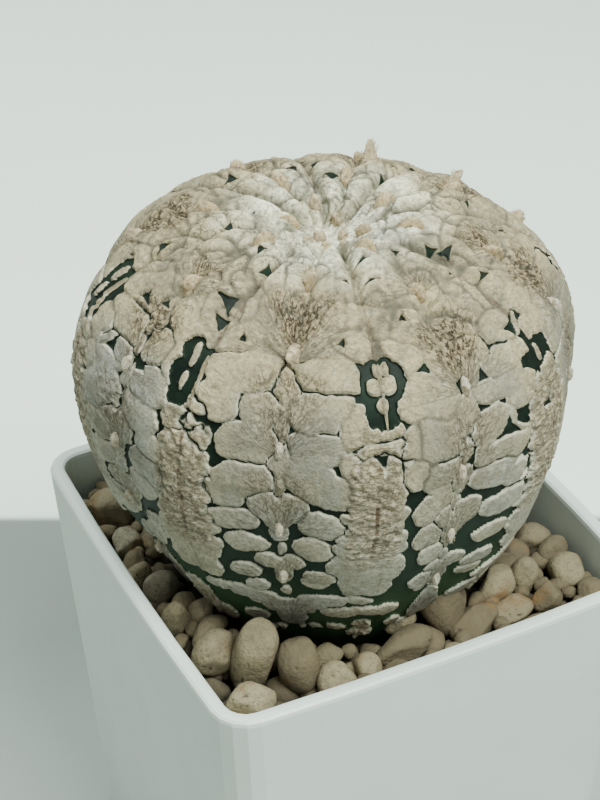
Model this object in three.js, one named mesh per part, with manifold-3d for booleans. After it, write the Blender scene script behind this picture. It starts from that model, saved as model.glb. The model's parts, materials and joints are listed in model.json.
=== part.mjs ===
// A star cactus (Astrophytum asterias, the thickly flecked kabuto form) in a square pot.
// Millimetres, +Z up. The origin is the centre of the pot's base.
// The pot's sides lie along X and Y.
import * as THREE from 'three';
import { mergeVertices } from 'three/addons/utils/BufferGeometryUtils.js';
import Module from 'manifold-3d';

const wasm = await Module();
wasm.setup();

// Pot
const POT_HEIGHT = 80;
const RIM_HALF = 37.5;
const WALL_TAPER = 0.058;
const SIDE_BOW = 0.86;
const LIP_WIDTH = 2.46;
const WALL_AT_FLOOR = 1.7;
const FLOOR_THICKNESS = 1.8;
const CORNER_OUTER = 5.5;
const CORNER_INNER = 3.05;
const BASE_EDGE = 0.8;
const FLOOR_FILLET = 0.8;
const DRAIN_RADIUS = 2;
const DRAIN_RING = 20;
const DRAIN_COUNT = 8;
const CORNER_STEPS = 4;
const SIDE_STEPS = 4;

// Fill of the pot
const GAP = 0.3;
const MIX_TOP = 62;
const BED_TOP = 72.4;

// Plant. Radius and height above the rim, from the crown's dimple down to the buried neck.
const PLANT_X = 0.5;
const PLANT_Y = 3.5;
const PROFILE = [
  [0, 50], [3.5, 50.8], [8, 53.2], [14, 54.4], [20, 53.3], [26.5, 50.5], [31.8, 46.8], [36, 41.5],
  [38.3, 35], [38.6, 29], [37.8, 21.5], [35.6, 13], [32.2, 4.6], [29, -1.5], [26.3, -6.5],
  [23.5, -11], [19.4, -16.8],
];
const ROOT = [[0, -16], [15, -16], [14.5, -20.5], [8, -25.5], [5, -31], [3.4, -38], [1.6, -43.5], [0, -44.5]];
const ROOT_SIDES = 20;
const FOOT_DROP = 1;
// Flutes: how far they stand out of the profile at the furrows, and how deep they dip at the
// areole lines. On the crown each half rib is a puffed lobe instead, with a crease at the furrow.
const FLUTE_PROUD = 0.45;
const FLUTE_DEPTH = 1.3;
const LOBE_HEIGHT = 1.5;
const CREASE_DEPTH = 1.1;
const CREASE_WIDTH = 0.1;
const RIBS = 8;
const RIB_ANGLE = 360 / RIBS;
const AREOLE_AZIMUTH = 7;
// How far each areole line leans sideways by the plant's foot, in degrees, rib by rib.
const LINE_LEAN = [1.5, -1, 1, -1.5, 0.5, 0, -5, 1];
// Arc length from the crown's centre to the first areole of each line.
const FIRST_AREOLE = [10.7, 14.7, 14.7, 7, 12.7, 4.7, 9.7, 12.7];
const AREOLE_SPACING = 13.3;
const LAST_AREOLE = 80;
// Half width, half length and height of an areole's wool near the crown and at the foot.
const CROWN_TUFT = [1.35, 1.5, 2.6];
const FOOT_TUFT = [1, 1.9, 1.3];
const CROWN_WOOL = [4, 4, 2.2];

// Fleck plates. Across half a rib, u runs from the areole line (0) to the furrow (1).
const GROOVE_DEPTH = 0.9;
const U_LINES = [0, 0.06, 0.3, 0.52, 0.58, 0.64, 0.94, 1];
const FURROW_LINE = U_LINES.length - 1;
const MIDDLE_GROOVE = 4;
// How far each line's plate edge stands back from the row's groove: the inner plates are fans,
// narrow at the areole line, and the outer ones have rounded ends.
const ROW_EDGE = [1.2, 1.9, 0.7, 1.0, 1.0, 1.0, 1.5, 1.0];
const PLATE_ROWS = [5, 12, 20, 28.5, 37.5, 46.5, 55.5, 64, 72.5, 81, 90];
const PLATE_DOME = 0.3;
const PLATE_SLANT = 2.2;
const ROW_STAGGER = 3;
// Random shift of a plate's corners: across (share of half a rib), along and off the skin.
const WOBBLE = [0.022, 0.7, 0.1];
// Arc lengths of the bare windows beside the furrows, and of the crust that bridges them.
const WINDOW = [28, 38.5];
const CRUST = [43, 84];

// Top dressing. Centre x, y, height against the rim, half sizes along, across and up, turn, tip.
const FRONT_PEBBLES = [
  [-24.2, -18.5, -5, 3.4, 3.1, 7.2, 20, 12], [-19.2, -24.6, -5, 3.3, 3, 4.9, 60, -10],
  [-29.6, -16, -5.5, 3.6, 3, 3.8, 20, 15], [-29, -27.5, -6, 3.8, 3, 2.4, 10, 0],
  [-27.2, -7.2, -6, 2.4, 1.8, 3, 30, 15], [-28.4, -11, -6, 3.4, 2, 2.4, 40, 0],
  [-31.5, -5.6, -6, 2.4, 2, 4.4, 0, 20], [-28.8, -2.4, -7, 2, 2, 3, 50, 10],
  [-30, 3.9, -7, 2.8, 2.4, 2.8, 0, 0], [-32.4, 8, -7.5, 2.4, 2, 3, 20, 0],
  [-29.2, 26.1, -7, 4.6, 4, 3.8, 30, 0], [-30.6, 17, -7.5, 3, 2.6, 2.7, 80, 0],
  [-31.5, 11.8, -7.5, 2.6, 1.7, 1.9, 60, 0], [-13.5, -23, -7, 2.4, 1.9, 2, 0, 0],
  [-15, -29, -6.5, 3.1, 2.8, 3, 40, 0], [-0.3, -21.8, -6, 2.7, 2, 2.2, 10, 10],
  [-2.2, -27.2, -6, 4.8, 2.7, 2.6, 12, 0], [7.8, -21.8, -5.5, 4.4, 3.7, 4.4, 35, -10],
  [10.2, -26.9, -6.5, 4.6, 3.3, 3.2, 15, 0], [18.6, -20.6, -6.5, 3.7, 2.7, 2.8, 30, 0],
  [23.4, -21.6, -6, 2.3, 2.2, 3.1, 0, 0], [31.3, -17.6, -6.5, 3, 2, 2.1, 25, 10],
  [30.5, -23.2, -6.5, 3.1, 2.9, 3, 0, 0], [23.9, -27.5, -6.5, 2.5, 2.2, 3.2, 30, 10],
  [17.6, -27, -7, 3.8, 2.6, 2.2, 15, 0], [-9.6, -28.6, -7, 2.2, 2.4, 2.8, 0, 0],
  [30.8, -29.5, -7, 3, 2.4, 2.6, 50, 0],
];
const FILL_SEED = 7;
const FILL_TRIES = 2600;
const FILL_LEVEL = [-8.4, -6.8];
const FILL_SIZE = [2.4, 3.8];
const PEBBLE_SPACING = 0.76;
const PEBBLE_DENT = 0.09;
// Sides of the hole that the plant stands in, in the gravel and in the mix.
const GRAVEL_HOLE_SIDES = 56;
const MIX_HOLE_SIDES = 32;

const smooth = (a, b, x) => THREE.MathUtils.smoothstep(x, a, b);
const mix = THREE.MathUtils.lerp;
const within = (range, x) => x > range[0] && x < range[1];

// A repeatable random draw from 0 to 1.
function randomDraws(seed) {
  let state = seed >>> 0;
  return () => {
    state = (state + 0x6d2b79f5) >>> 0;
    let t = Math.imul(state ^ (state >>> 15), state | 1);
    t = (t + Math.imul(t ^ (t >>> 7), t | 61)) ^ t;
    return ((t ^ (t >>> 14)) >>> 0) / 4294967296;
  };
}

// A fixed value from -1 to 1 for each set of three whole numbers.
function hash(i, j, k) {
  return randomDraws(i * 7919 + j * 104729 + k * 1299709 + 17)() * 2 - 1;
}

function toManifold(geometry) {
  const bare = geometry.clone();
  bare.deleteAttribute('normal');
  bare.deleteAttribute('uv');
  const merged = mergeVertices(bare, 1e-4);
  return new wasm.Manifold(new wasm.Mesh({
    numProp: 3,
    vertProperties: new Float32Array(merged.attributes.position.array),
    triVerts: new Uint32Array(merged.index.array),
  }));
}

function toGeometry(manifold) {
  const mesh = manifold.getMesh();
  const geometry = new THREE.BufferGeometry();
  geometry.setAttribute('position', new THREE.BufferAttribute(new Float32Array(mesh.vertProperties), 3));
  geometry.setIndex(new THREE.BufferAttribute(new Uint32Array(mesh.triVerts), 1));
  return geometry;
}

// The largest body of a solid: scraps that a cut leaves loose are dropped.
function largest(manifold) {
  return manifold.decompose().reduce((best, body) => (body.volume() > best.volume() ? body : best));
}

// Closed skin through rings of equal length, wound counter-clockwise seen from the last ring's
// side, with a fan at either end.
function loft(rings, firstCentre, lastCentre) {
  const n = rings[0].length;
  const points = rings.flat();
  const faces = [];
  for (let r = 0; r + 1 < rings.length; r += 1) {
    for (let i = 0; i < n; i += 1) {
      const a = r * n + i;
      const b = r * n + (i + 1) % n;
      faces.push(a, b, b + n, a, b + n, a + n);
    }
  }
  const first = points.push(firstCentre) - 1;
  const last = points.push(lastCentre) - 1;
  const lastRow = (rings.length - 1) * n;
  for (let i = 0; i < n; i += 1) {
    const next = (i + 1) % n;
    faces.push(first, next, i);
    faces.push(last, lastRow + i, lastRow + next);
  }
  const geometry = new THREE.BufferGeometry();
  geometry.setAttribute('position', new THREE.Float32BufferAttribute(points.flat(), 3));
  geometry.setIndex(faces);
  return geometry;
}

// Rounded square with bowed sides, counter-clockwise from above.
function squareRing(half, corner, z) {
  const ring = [];
  for (let side = 0; side < 4; side += 1) {
    const turn = side * Math.PI / 2;
    const local = [];
    for (let i = 0; i <= CORNER_STEPS; i += 1) {
      const a = -Math.PI / 2 + i / CORNER_STEPS * Math.PI / 2;
      local.push([half - corner + corner * Math.cos(a), corner - half + corner * Math.sin(a)]);
    }
    for (let i = 1; i < SIDE_STEPS; i += 1) {
      local.push([half, mix(corner - half, half - corner, i / SIDE_STEPS)]);
    }
    for (const [x, y] of local) {
      const bowedX = x * (1 + SIDE_BOW / half * (1 - (y / half) ** 2));
      const bowedY = y * (1 + SIDE_BOW / half * (1 - (x / half) ** 2));
      const c = Math.cos(turn);
      const s = Math.sin(turn);
      ring.push([bowedX * c - bowedY * s, bowedX * s + bowedY * c, z]);
    }
  }
  return ring;
}

const outerHalf = (z) => RIM_HALF - WALL_TAPER * (POT_HEIGHT - z);
const wallAt = (z) => mix(WALL_AT_FLOOR, LIP_WIDTH, z / POT_HEIGHT);
const innerHalf = (z) => outerHalf(z) - wallAt(z);

function potShell() {
  const top = POT_HEIGHT;
  const lip = LIP_WIDTH / 2;
  const middle = RIM_HALF - lip;
  const outer = [
    squareRing(outerHalf(0) - BASE_EDGE, CORNER_OUTER - BASE_EDGE, 0),
    squareRing(outerHalf(0) - BASE_EDGE * 0.3, CORNER_OUTER - BASE_EDGE * 0.3, BASE_EDGE * 0.3),
    squareRing(outerHalf(BASE_EDGE), CORNER_OUTER, BASE_EDGE),
    squareRing(outerHalf(top / 2), CORNER_OUTER, top / 2),
  ];
  const rim = [];
  const lipSteps = 6;
  for (let i = 0; i <= lipSteps; i += 1) {
    const a = i / lipSteps * Math.PI;
    const offset = lip * Math.sign(Math.cos(a)) * Math.abs(Math.cos(a)) ** 0.75;
    const corner = mix(CORNER_INNER, CORNER_OUTER, (Math.cos(a) + 1) / 2);
    rim.push(squareRing(middle + offset, corner, top - lip * 0.8 * (1 - Math.sin(a) ** 0.75)));
  }
  const inner = [
    squareRing(innerHalf(top / 2), CORNER_INNER, top / 2),
    squareRing(innerHalf(FLOOR_THICKNESS), CORNER_INNER, FLOOR_THICKNESS + FLOOR_FILLET),
    squareRing(innerHalf(FLOOR_THICKNESS) - FLOOR_FILLET, CORNER_INNER, FLOOR_THICKNESS),
  ];
  let drained = toManifold(loft([...outer, ...rim, ...inner], [0, 0, 0], [0, 0, FLOOR_THICKNESS]));
  for (let i = 0; i < DRAIN_COUNT; i += 1) {
    const a = (i + 0.5) / DRAIN_COUNT * Math.PI * 2;
    const hole = new THREE.CylinderGeometry(DRAIN_RADIUS, DRAIN_RADIUS, FLOOR_THICKNESS * 3, 12);
    hole.rotateX(Math.PI / 2);
    hole.translate(DRAIN_RING * Math.cos(a), DRAIN_RING * Math.sin(a), FLOOR_THICKNESS / 2);
    drained = drained.subtract(toManifold(hole));
  }
  return drained;
}

// A plug that fills the pot between two heights, clear of the wall and of the floor's fillet.
function potPlug(low, high) {
  const rings = [
    squareRing(innerHalf(low) - GAP - FLOOR_FILLET, CORNER_INNER, low),
    squareRing(innerHalf(low) - GAP, CORNER_INNER, low + FLOOR_FILLET),
    squareRing(innerHalf(high) - GAP, CORNER_INNER, high),
  ];
  return toManifold(loft(rings, [0, 0, low], [0, 0, high]));
}

const curve = new THREE.SplineCurve(PROFILE.map(([r, z]) => new THREE.Vector2(r, z)));
const ARC = curve.getLength();

// Ribs: puffed lobes with a sharp furrow on the crown, broad flutes lower down.
function ribOffset(u, s) {
  const crown = 1 - smooth(22, 40, s);
  const start = smooth(0, 9, s);
  const end = 1 - smooth(80, ARC, s);
  const lobe = LOBE_HEIGHT * (Math.sin(Math.PI * Math.min(u * 0.92 + 0.06, 1)) - 0.62);
  const crease = -CREASE_DEPTH * Math.exp(-(((1 - u) / CREASE_WIDTH) ** 2)) * (1 - smooth(30, 46, s));
  const valley = FLUTE_PROUD - FLUTE_DEPTH * (1 - u) ** 2;
  return start * end * (crown * lobe + (1 - crown) * valley + crease);
}

// A point on the plant: rib number, side of its areole line, u, arc length and lift off the skin.
function skinPoint(rib, side, u, s, lift) {
  const t = THREE.MathUtils.clamp(s / ARC, 0, 1);
  const at = curve.getPointAt(t);
  const along = curve.getTangentAt(t);
  const lean = LINE_LEAN[rib] * smooth(34, 58, s) * (1 - u);
  const degrees = AREOLE_AZIMUTH + rib * RIB_ANGLE + lean + side * u * RIB_ANGLE / 2;
  const azimuth = THREE.MathUtils.degToRad(degrees);
  const off = lift + ribOffset(u, s);
  const radius = Math.max(at.x - along.y * off, 0);
  return [
    PLANT_X + radius * Math.cos(azimuth),
    PLANT_Y + radius * Math.sin(azimuth),
    POT_HEIGHT + at.y + along.x * off,
  ];
}

// Lift of a grid point of the plate relief, from the line across and the place in its row.
function plateLift(line, edge, s) {
  const low = -GROOVE_DEPTH;
  const shallow = low * smooth(3, 16, s);
  if (s > PLATE_ROWS[PLATE_ROWS.length - 1]) return low;
  if (within(WINDOW, s) && line >= MIDDLE_GROOVE) return line === FURROW_LINE ? low * 0.35 : low;
  if (within(CRUST, s) && line > MIDDLE_GROOVE + 1) return edge ? 0 : low * 0.35;
  if (!edge || line === MIDDLE_GROOVE) return shallow;
  if (line === 0) return mix(low * 0.25, low, smooth(48, 62, s));
  if (line === FURROW_LINE) return low;
  return line === 2 ? PLATE_DOME : 0;
}

// Rows of the grid: for each row of plates its groove (0) and its upper (1) and lower (-1) edge.
function gridRows() {
  const rows = [{ s: 3, edge: 0, plate: -1 }];
  for (let j = 0; j + 1 < PLATE_ROWS.length; j += 1) {
    rows.push({ s: PLATE_ROWS[j], edge: 0, plate: j });
    rows.push({ s: PLATE_ROWS[j], edge: 1, plate: j });
    rows.push({ s: PLATE_ROWS[j + 1], edge: -1, plate: j });
  }
  rows.push({ s: PLATE_ROWS[PLATE_ROWS.length - 1], edge: 0, plate: PLATE_ROWS.length });
  rows.push({ s: 98, edge: 0, plate: -1 });
  rows.push({ s: ARC, edge: 0, plate: -1 });
  return rows;
}

// One vertex of the relief grid. The outer plates sit half a row lower than the inner ones,
// and every plate slants up from the areole line.
function gridPoint(rib, side, line, row) {
  const { edge, plate } = row;
  if (plate < 0) return skinPoint(rib, side, U_LINES[line], row.s, row.s > 90 ? -GROOVE_DEPTH : 0);
  const s = row.s + edge * ROW_EDGE[line] * smooth(0, 16, row.s);
  const shared = line === 0 || line === FURROW_LINE;
  const wobble = hash(line, plate * 3 + edge, shared ? 0 : rib * 2 + side);
  const fade = smooth(4, 20, s) * (1 - smooth(82, 92, s));
  const u = U_LINES[line] + (shared ? 0 : WOBBLE[0] * wobble);
  const outer = smooth(U_LINES[3], U_LINES[5], U_LINES[line]);
  const shift = fade * (outer * ROW_STAGGER - U_LINES[line] * PLATE_SLANT + WOBBLE[1] * wobble);
  return skinPoint(rib, side, u, s + shift, plateLift(line, edge, s) + WOBBLE[2] * wobble);
}

function flutedBody() {
  const rings = gridRows().map((row) => {
    const ring = [];
    for (let rib = 0; rib < RIBS; rib += 1) {
      for (let line = FURROW_LINE; line > 0; line -= 1) ring.push(gridPoint(rib, -1, line, row));
      for (let line = 0; line < FURROW_LINE; line += 1) ring.push(gridPoint(rib, 1, line, row));
    }
    return ring.reverse();
  });
  const [, apex] = PROFILE[0];
  const foot = PROFILE[PROFILE.length - 1][1];
  const crown = [PLANT_X, PLANT_Y, POT_HEIGHT + apex];
  return toManifold(loft(rings, crown, [PLANT_X, PLANT_Y, POT_HEIGHT + foot - FOOT_DROP]));
}

// The plant's plain outer form, thickened, that cuts room for it in the fill.
function bodyRoom(clearance, sides) {
  const points = [];
  const steps = 24;
  for (let i = 0; i <= steps; i += 1) {
    const at = curve.getPointAt(i / steps);
    const along = curve.getTangentAt(i / steps);
    points.push(new THREE.Vector2(i ? at.x - along.y * clearance : 0, POT_HEIGHT + at.y + along.x * clearance));
  }
  const foot = PROFILE[PROFILE.length - 1];
  points.push(new THREE.Vector2(foot[0], POT_HEIGHT + foot[1] - FOOT_DROP - clearance));
  for (const [r, z] of ROOT.slice(2)) {
    const tip = r === 0;
    points.push(new THREE.Vector2(tip ? 0 : r + clearance, POT_HEIGHT + z - (tip ? clearance : 0)));
  }
  const room = new THREE.LatheGeometry(points.reverse(), sides);
  room.rotateX(Math.PI / 2);
  room.translate(PLANT_X, PLANT_Y, 0);
  return toManifold(room);
}

function tapRoot() {
  const points = ROOT.map(([r, z]) => new THREE.Vector2(r, POT_HEIGHT + z)).reverse();
  const root = new THREE.LatheGeometry(points, ROOT_SIDES);
  root.rotateX(Math.PI / 2);
  root.translate(PLANT_X, PLANT_Y, 0);
  return toManifold(root);
}

// A woolly areole: a low knob on the skin, taller near the crown and longer lower down.
function areoleTuft(rib, s) {
  const low = smooth(25, 60, s);
  const knob = new THREE.IcosahedronGeometry(1, 0);
  knob.scale(...CROWN_TUFT.map((size, i) => mix(size, FOOT_TUFT[i], low)));
  const here = new THREE.Vector3(...skinPoint(rib, 1, 0, s, -0.4));
  const out = new THREE.Vector3(...skinPoint(rib, 1, 0, s, 1)).sub(here).normalize();
  const down = new THREE.Vector3(...skinPoint(rib, 1, 0, s + 1, -0.4)).sub(here).normalize();
  const across = new THREE.Vector3().crossVectors(down, out).normalize();
  const basis = new THREE.Matrix4().makeBasis(across, new THREE.Vector3().crossVectors(out, across), out);
  knob.applyMatrix4(basis);
  knob.translate(here.x, here.y, here.z);
  return toManifold(knob);
}

function crownWool() {
  const wool = new THREE.SphereGeometry(1, 10, 6);
  wool.rotateX(Math.PI / 2);
  wool.scale(...CROWN_WOOL);
  wool.translate(PLANT_X, PLANT_Y, POT_HEIGHT + PROFILE[0][1] + 0.2);
  return toManifold(wool);
}

function wholePlant() {
  let plant = flutedBody().add(tapRoot()).add(crownWool());
  for (let rib = 0; rib < RIBS; rib += 1) {
    for (let s = FIRST_AREOLE[rib]; s < LAST_AREOLE; s += AREOLE_SPACING) {
      if (s > 6) plant = plant.add(areoleTuft(rib, s));
    }
  }
  return plant;
}

function pebble([x, y, z, along, across, up, turn, tip], seed) {
  const atFront = seed < FRONT_PEBBLES.length;
  const stone = atFront ? new THREE.IcosahedronGeometry(1, 1) : new THREE.OctahedronGeometry(1, 1);
  const bare = mergeVertices(new THREE.BufferGeometry().setAttribute('position', stone.attributes.position));
  const position = bare.attributes.position;
  for (let i = 0; i < position.count; i += 1) {
    const dent = 1 + PEBBLE_DENT * hash(seed, i, 3);
    position.setXYZ(i, position.getX(i) * dent, position.getY(i) * dent, position.getZ(i) * dent);
  }
  bare.scale(along, across, up);
  bare.rotateX(THREE.MathUtils.degToRad(tip));
  bare.rotateZ(THREE.MathUtils.degToRad(turn));
  bare.translate(x, y, POT_HEIGHT + z);
  return toManifold(bare);
}

// Radius of the plant at a height against the rim.
function plantRadius(z) {
  let found = 0;
  for (let i = 0; i + 1 < PROFILE.length; i += 1) {
    const [r0, z0] = PROFILE[i];
    const [r1, z1] = PROFILE[i + 1];
    if (z <= z0 && z >= z1) found = Math.max(found, mix(r0, r1, (z - z0) / (z1 - z0)));
  }
  return found;
}

// The pebbles seen from the front are set by hand, and the rest are dropped where there is room.
function pebbleList() {
  const list = FRONT_PEBBLES.map((row) => [...row]);
  const draw = randomDraws(FILL_SEED);
  for (let i = 0; i < FILL_TRIES; i += 1) {
    const x = (draw() * 2 - 1) * RIM_HALF;
    const y = (draw() * 2 - 1) * RIM_HALF;
    const z = mix(FILL_LEVEL[0], FILL_LEVEL[1], draw());
    const size = mix(FILL_SIZE[0], FILL_SIZE[1], draw());
    const shape = [size * mix(1, 1.3, draw()), size * mix(0.8, 1, draw()), size * mix(0.7, 0.95, draw())];
    const turn = draw() * 180;
    const wall = innerHalf(POT_HEIGHT + z) - size - 0.4;
    const fromPlant = Math.hypot(x - PLANT_X, y - PLANT_Y) - plantRadius(z + size) - size * 0.9;
    const clear = list.every(([px, py, , pa, pb]) => (
      Math.hypot(x - px, y - py) > (size + (pa + pb) / 2) * PEBBLE_SPACING));
    if (clear && fromPlant > 0 && Math.max(Math.abs(x), Math.abs(y)) < wall) {
      list.push([x, y, z, ...shape, turn, 0]);
    }
  }
  return list;
}

function topDressing() {
  let stones = potPlug(MIX_TOP + GAP, BED_TOP);
  pebbleList().forEach((row, i) => {
    stones = stones.add(pebble(row, i));
  });
  const level = potPlug(MIX_TOP + GAP, POT_HEIGHT + 6);
  return largest(stones.intersect(level).subtract(bodyRoom(GAP + FLUTE_PROUD, GRAVEL_HOLE_SIDES)));
}

function growingMix() {
  return potPlug(FLOOR_THICKNESS + GAP, MIX_TOP).subtract(bodyRoom(GAP, MIX_HOLE_SIDES));
}

const paint = (color, roughness) => new THREE.MeshStandardMaterial({ color, roughness, metalness: 0 });

const nodes = [
  ['pot', potShell(), paint(0xdfe4e0, 0.38)],
  ['growing_mix', growingMix(), paint(0x4a3a2c, 0.95)],
  ['gravel', topDressing(), paint(0xa39279, 0.85)],
  ['cactus', wholePlant(), paint(0xbdb7a6, 0.8)],
];

const object = new THREE.Group();
for (const [name, solid, material] of nodes) {
  const mesh = new THREE.Mesh(toGeometry(solid), material);
  mesh.name = name;
  object.add(mesh);
}

export default object;
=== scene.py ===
# %% [markdown]
# A star cactus in a square pot. The plant is the thickly flecked kabuto form of
# Astrophytum asterias: a green globe under a crust of pale, felted plates.
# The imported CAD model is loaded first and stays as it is. Every finer piece is built round
# it in the same frame, so nothing has to be fitted afterwards.

# %% Load the frame
import json
import math

import bmesh
import bpy
import numpy as np
from mathutils import Matrix, Vector

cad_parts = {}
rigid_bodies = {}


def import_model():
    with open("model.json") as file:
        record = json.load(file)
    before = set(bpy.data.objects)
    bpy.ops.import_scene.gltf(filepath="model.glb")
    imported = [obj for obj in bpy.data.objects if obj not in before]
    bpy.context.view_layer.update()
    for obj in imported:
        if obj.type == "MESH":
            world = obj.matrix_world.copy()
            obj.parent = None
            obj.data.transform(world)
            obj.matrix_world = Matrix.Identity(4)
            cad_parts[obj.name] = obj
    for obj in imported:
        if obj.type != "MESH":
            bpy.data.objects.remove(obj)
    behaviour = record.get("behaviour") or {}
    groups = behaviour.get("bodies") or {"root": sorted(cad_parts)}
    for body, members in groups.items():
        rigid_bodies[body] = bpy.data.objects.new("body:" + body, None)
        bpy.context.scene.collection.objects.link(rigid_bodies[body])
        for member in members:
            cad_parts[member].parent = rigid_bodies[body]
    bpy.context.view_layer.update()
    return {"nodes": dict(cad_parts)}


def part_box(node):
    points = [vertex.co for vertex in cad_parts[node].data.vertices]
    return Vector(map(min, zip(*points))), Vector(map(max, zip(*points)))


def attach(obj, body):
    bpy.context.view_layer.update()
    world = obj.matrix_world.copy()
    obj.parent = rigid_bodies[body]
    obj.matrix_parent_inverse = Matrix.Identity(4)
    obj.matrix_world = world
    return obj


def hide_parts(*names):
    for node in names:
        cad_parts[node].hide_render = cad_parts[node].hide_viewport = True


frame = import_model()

MM = 0.001
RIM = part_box("pot")[1].z / MM
print("nodes:", sorted(frame["nodes"]), "rim height", round(RIM, 1), "mm")

# %% [markdown]
# The camera comes first, because everything else is judged through it. Its place was
# worked out from the pot's rim, a square of known width that the photograph shows at a
# slant: the place, the lens and the small roll are the ones that draw that square where
# it stands in the picture. A long lens close by keeps the rim's sides from converging.

# %% Camera
CAMERA_PLACE = Vector((-119.2, -222.8, RIM + 199.9)) * MM
LOOK = Vector((0.3695, 0.7312, -0.5734))
PICTURE_UP = Vector((0.2614, 0.5104, 0.8193))
LENS = 87.74


def aim(look, picture_up):
    """Rotation that looks along one direction, with another upright in the picture."""
    side = look.cross(picture_up).normalized()
    up = side.cross(look).normalized()
    return Matrix((side, up, -look.normalized())).transposed().to_4x4()


camera_data = bpy.data.cameras.new("camera")
camera_data.lens = LENS
camera_data.sensor_width = 36
camera_data.clip_start = 0.01
camera = bpy.data.objects.new("camera", camera_data)
camera.matrix_world = Matrix.Translation(CAMERA_PLACE) @ aim(LOOK, PICTURE_UP)
bpy.context.scene.collection.objects.link(camera)
bpy.context.scene.camera = camera
print("camera", round((CAMERA_PLACE - Vector((0, 0, RIM * MM))).length / MM), "mm from the rim's centre")

# %% [markdown]
# The finishes are built from nodes, and the same few steps return in all of them: add a
# node, multiply two masks, mix two colours, stretch a range. Each gets a short function
# here. They add to `tree`, the node tree of the material in hand, so that the lines of a
# material read like a recipe: a base colour, then thin coats, each with its own mask.

# %% Small helpers for materials
def material(name, roughness):
    """A new material, its node tree and its Principled shader."""
    made = bpy.data.materials.new(name)
    made.use_nodes = True
    shader = made.node_tree.nodes["Principled BSDF"]
    shader.inputs["Roughness"].default_value = roughness
    return made, made.node_tree, shader


def feed(made, inputs):
    """Sets a node's inputs to values, or links them to the sockets that feed them."""
    for key, value in inputs.items():
        if isinstance(value, bpy.types.NodeSocket):
            tree.links.new(value, made.inputs[key])
        else:
            made.inputs[key].default_value = value
    return made


def node(kind, inputs, **settings):
    """Adds a node to the tree in hand."""
    made = tree.nodes.new(kind)
    for key, value in settings.items():
        setattr(made, key, value)
    return feed(made, inputs)


def calc(operation, first, second=0.0):
    """One step of arithmetic on values or sockets."""
    return node("ShaderNodeMath", {0: first, 1: second}, operation=operation).outputs[0]


def times(first, second):
    """Two masks or values multiplied."""
    return calc("MULTIPLY", first, second)


def blend(amount, first, second):
    """Mixes two colours by an amount from 0 to 1."""
    first, second = [(*color, 1) if isinstance(color, tuple) else color for color in (first, second)]
    return node("ShaderNodeMix", {0: amount, 6: first, 7: second}, data_type="RGBA").outputs[2]


def layers(color, *coats):
    """Lays thin coats over a colour, each with a mask and its own colour."""
    for mask, coat in coats:
        color = blend(mask, color, coat)
    return color


def remap(value, low, high, out_low=0.0, out_high=1.0):
    """Stretches a range of values to another, with soft ends."""
    inputs = {"Value": value, "From Min": low, "From Max": high, "To Min": out_low, "To Max": out_high}
    return node("ShaderNodeMapRange", inputs, interpolation_type="SMOOTHSTEP").outputs[0]


def attribute(name):
    """A value stored on the mesh."""
    return node("ShaderNodeAttribute", {}, attribute_name=name).outputs["Fac"]


def place():
    """The object's own coordinates, in metres."""
    return node("ShaderNodeTexCoord", {}).outputs["Object"]


def stretched(*axes):
    """A place made of three values, each multiplied by its own factor."""
    return node("ShaderNodeCombineXYZ", {key: times(*axis) for key, axis in zip("XYZ", axes)}).outputs[0]


def grain(scale, detail=3.0, roughness=0.55, vector=None):
    """Cloudy noise. The scale is in features per metre."""
    inputs = {"Scale": scale, "Detail": detail, "Roughness": roughness, "Vector": vector or place()}
    return node("ShaderNodeTexNoise", inputs).outputs["Fac"]


def off_middle(scale, detail, roughness, vector=None):
    """How far cloudy noise is from its middle value: near 0 along fine winding lines."""
    return calc("ABSOLUTE", calc("SUBTRACT", grain(scale, detail, roughness, vector), 0.5))


def connect(shader, color, height, strength, distance):
    """Gives a shader its colour and a fine bump."""
    bump = node("ShaderNodeBump", {"Height": height, "Strength": strength, "Distance": distance})
    feed(shader, {"Base Color": color, "Normal": bump.outputs[0]})


# %% [markdown]
# Stone, soil, felt and plastic are all uneven in the same way: clouds of another shade
# with soft edges, only their size and share differ. That one effect is a node group, so
# each material places it with its own numbers and a change to it reaches them all.

# %% Node group for speckles
tree = speckle_group = bpy.data.node_groups.new("speckles", "ShaderNodeTree")
sockets = speckle_group.interface
for name, value in (("Scale", 500.0), ("Low", 0.4), ("High", 0.6), ("Most", 1.0)):
    sockets.new_socket(name=name, in_out="INPUT", socket_type="NodeSocketFloat").default_value = value
sockets.new_socket(name="Mask", in_out="OUTPUT", socket_type="NodeSocketFloat")
given = node("NodeGroupInput", {}).outputs
mask = remap(grain(given["Scale"]), given["Low"], given["High"], 0.0, given["Most"])
node("NodeGroupOutput", {"Mask": mask})


def speckle(scale, low, high, most=1.0):
    """A mask of soft speckles, with a scale in features per metre."""
    inputs = {"Scale": scale, "Low": low, "High": high, "Most": most}
    return node("ShaderNodeGroup", inputs, node_tree=speckle_group).outputs["Mask"]


print("speckle group with", len(speckle_group.nodes), "nodes")

# %% [markdown]
# The light is that of a pale room: one broad soft source high in front, a weaker one
# behind, and a pale sky that fills the shadows. Big lamps close by give the soft edges
# that a bulky, matt plant needs. The floor is a plain pale sheet, a shade darker in
# front and round the pot, which keeps it from lighting the pot's walls from below. The
# darker part turns darker still towards where it meets the pale part: a painted shadow.

# %% Floor and lamps
def add_lamp(name, location, target, size, power, color):
    """A square soft lamp that faces a point."""
    data = bpy.data.lights.new(name, "AREA")
    data.size = size
    data.energy = power
    data.color = color
    lamp = bpy.data.objects.new(name, data)
    lamp.location = location
    lamp.rotation_euler = (Vector(target) - Vector(location)).to_track_quat("-Z", "Y").to_euler()
    bpy.context.scene.collection.objects.link(lamp)


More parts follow.
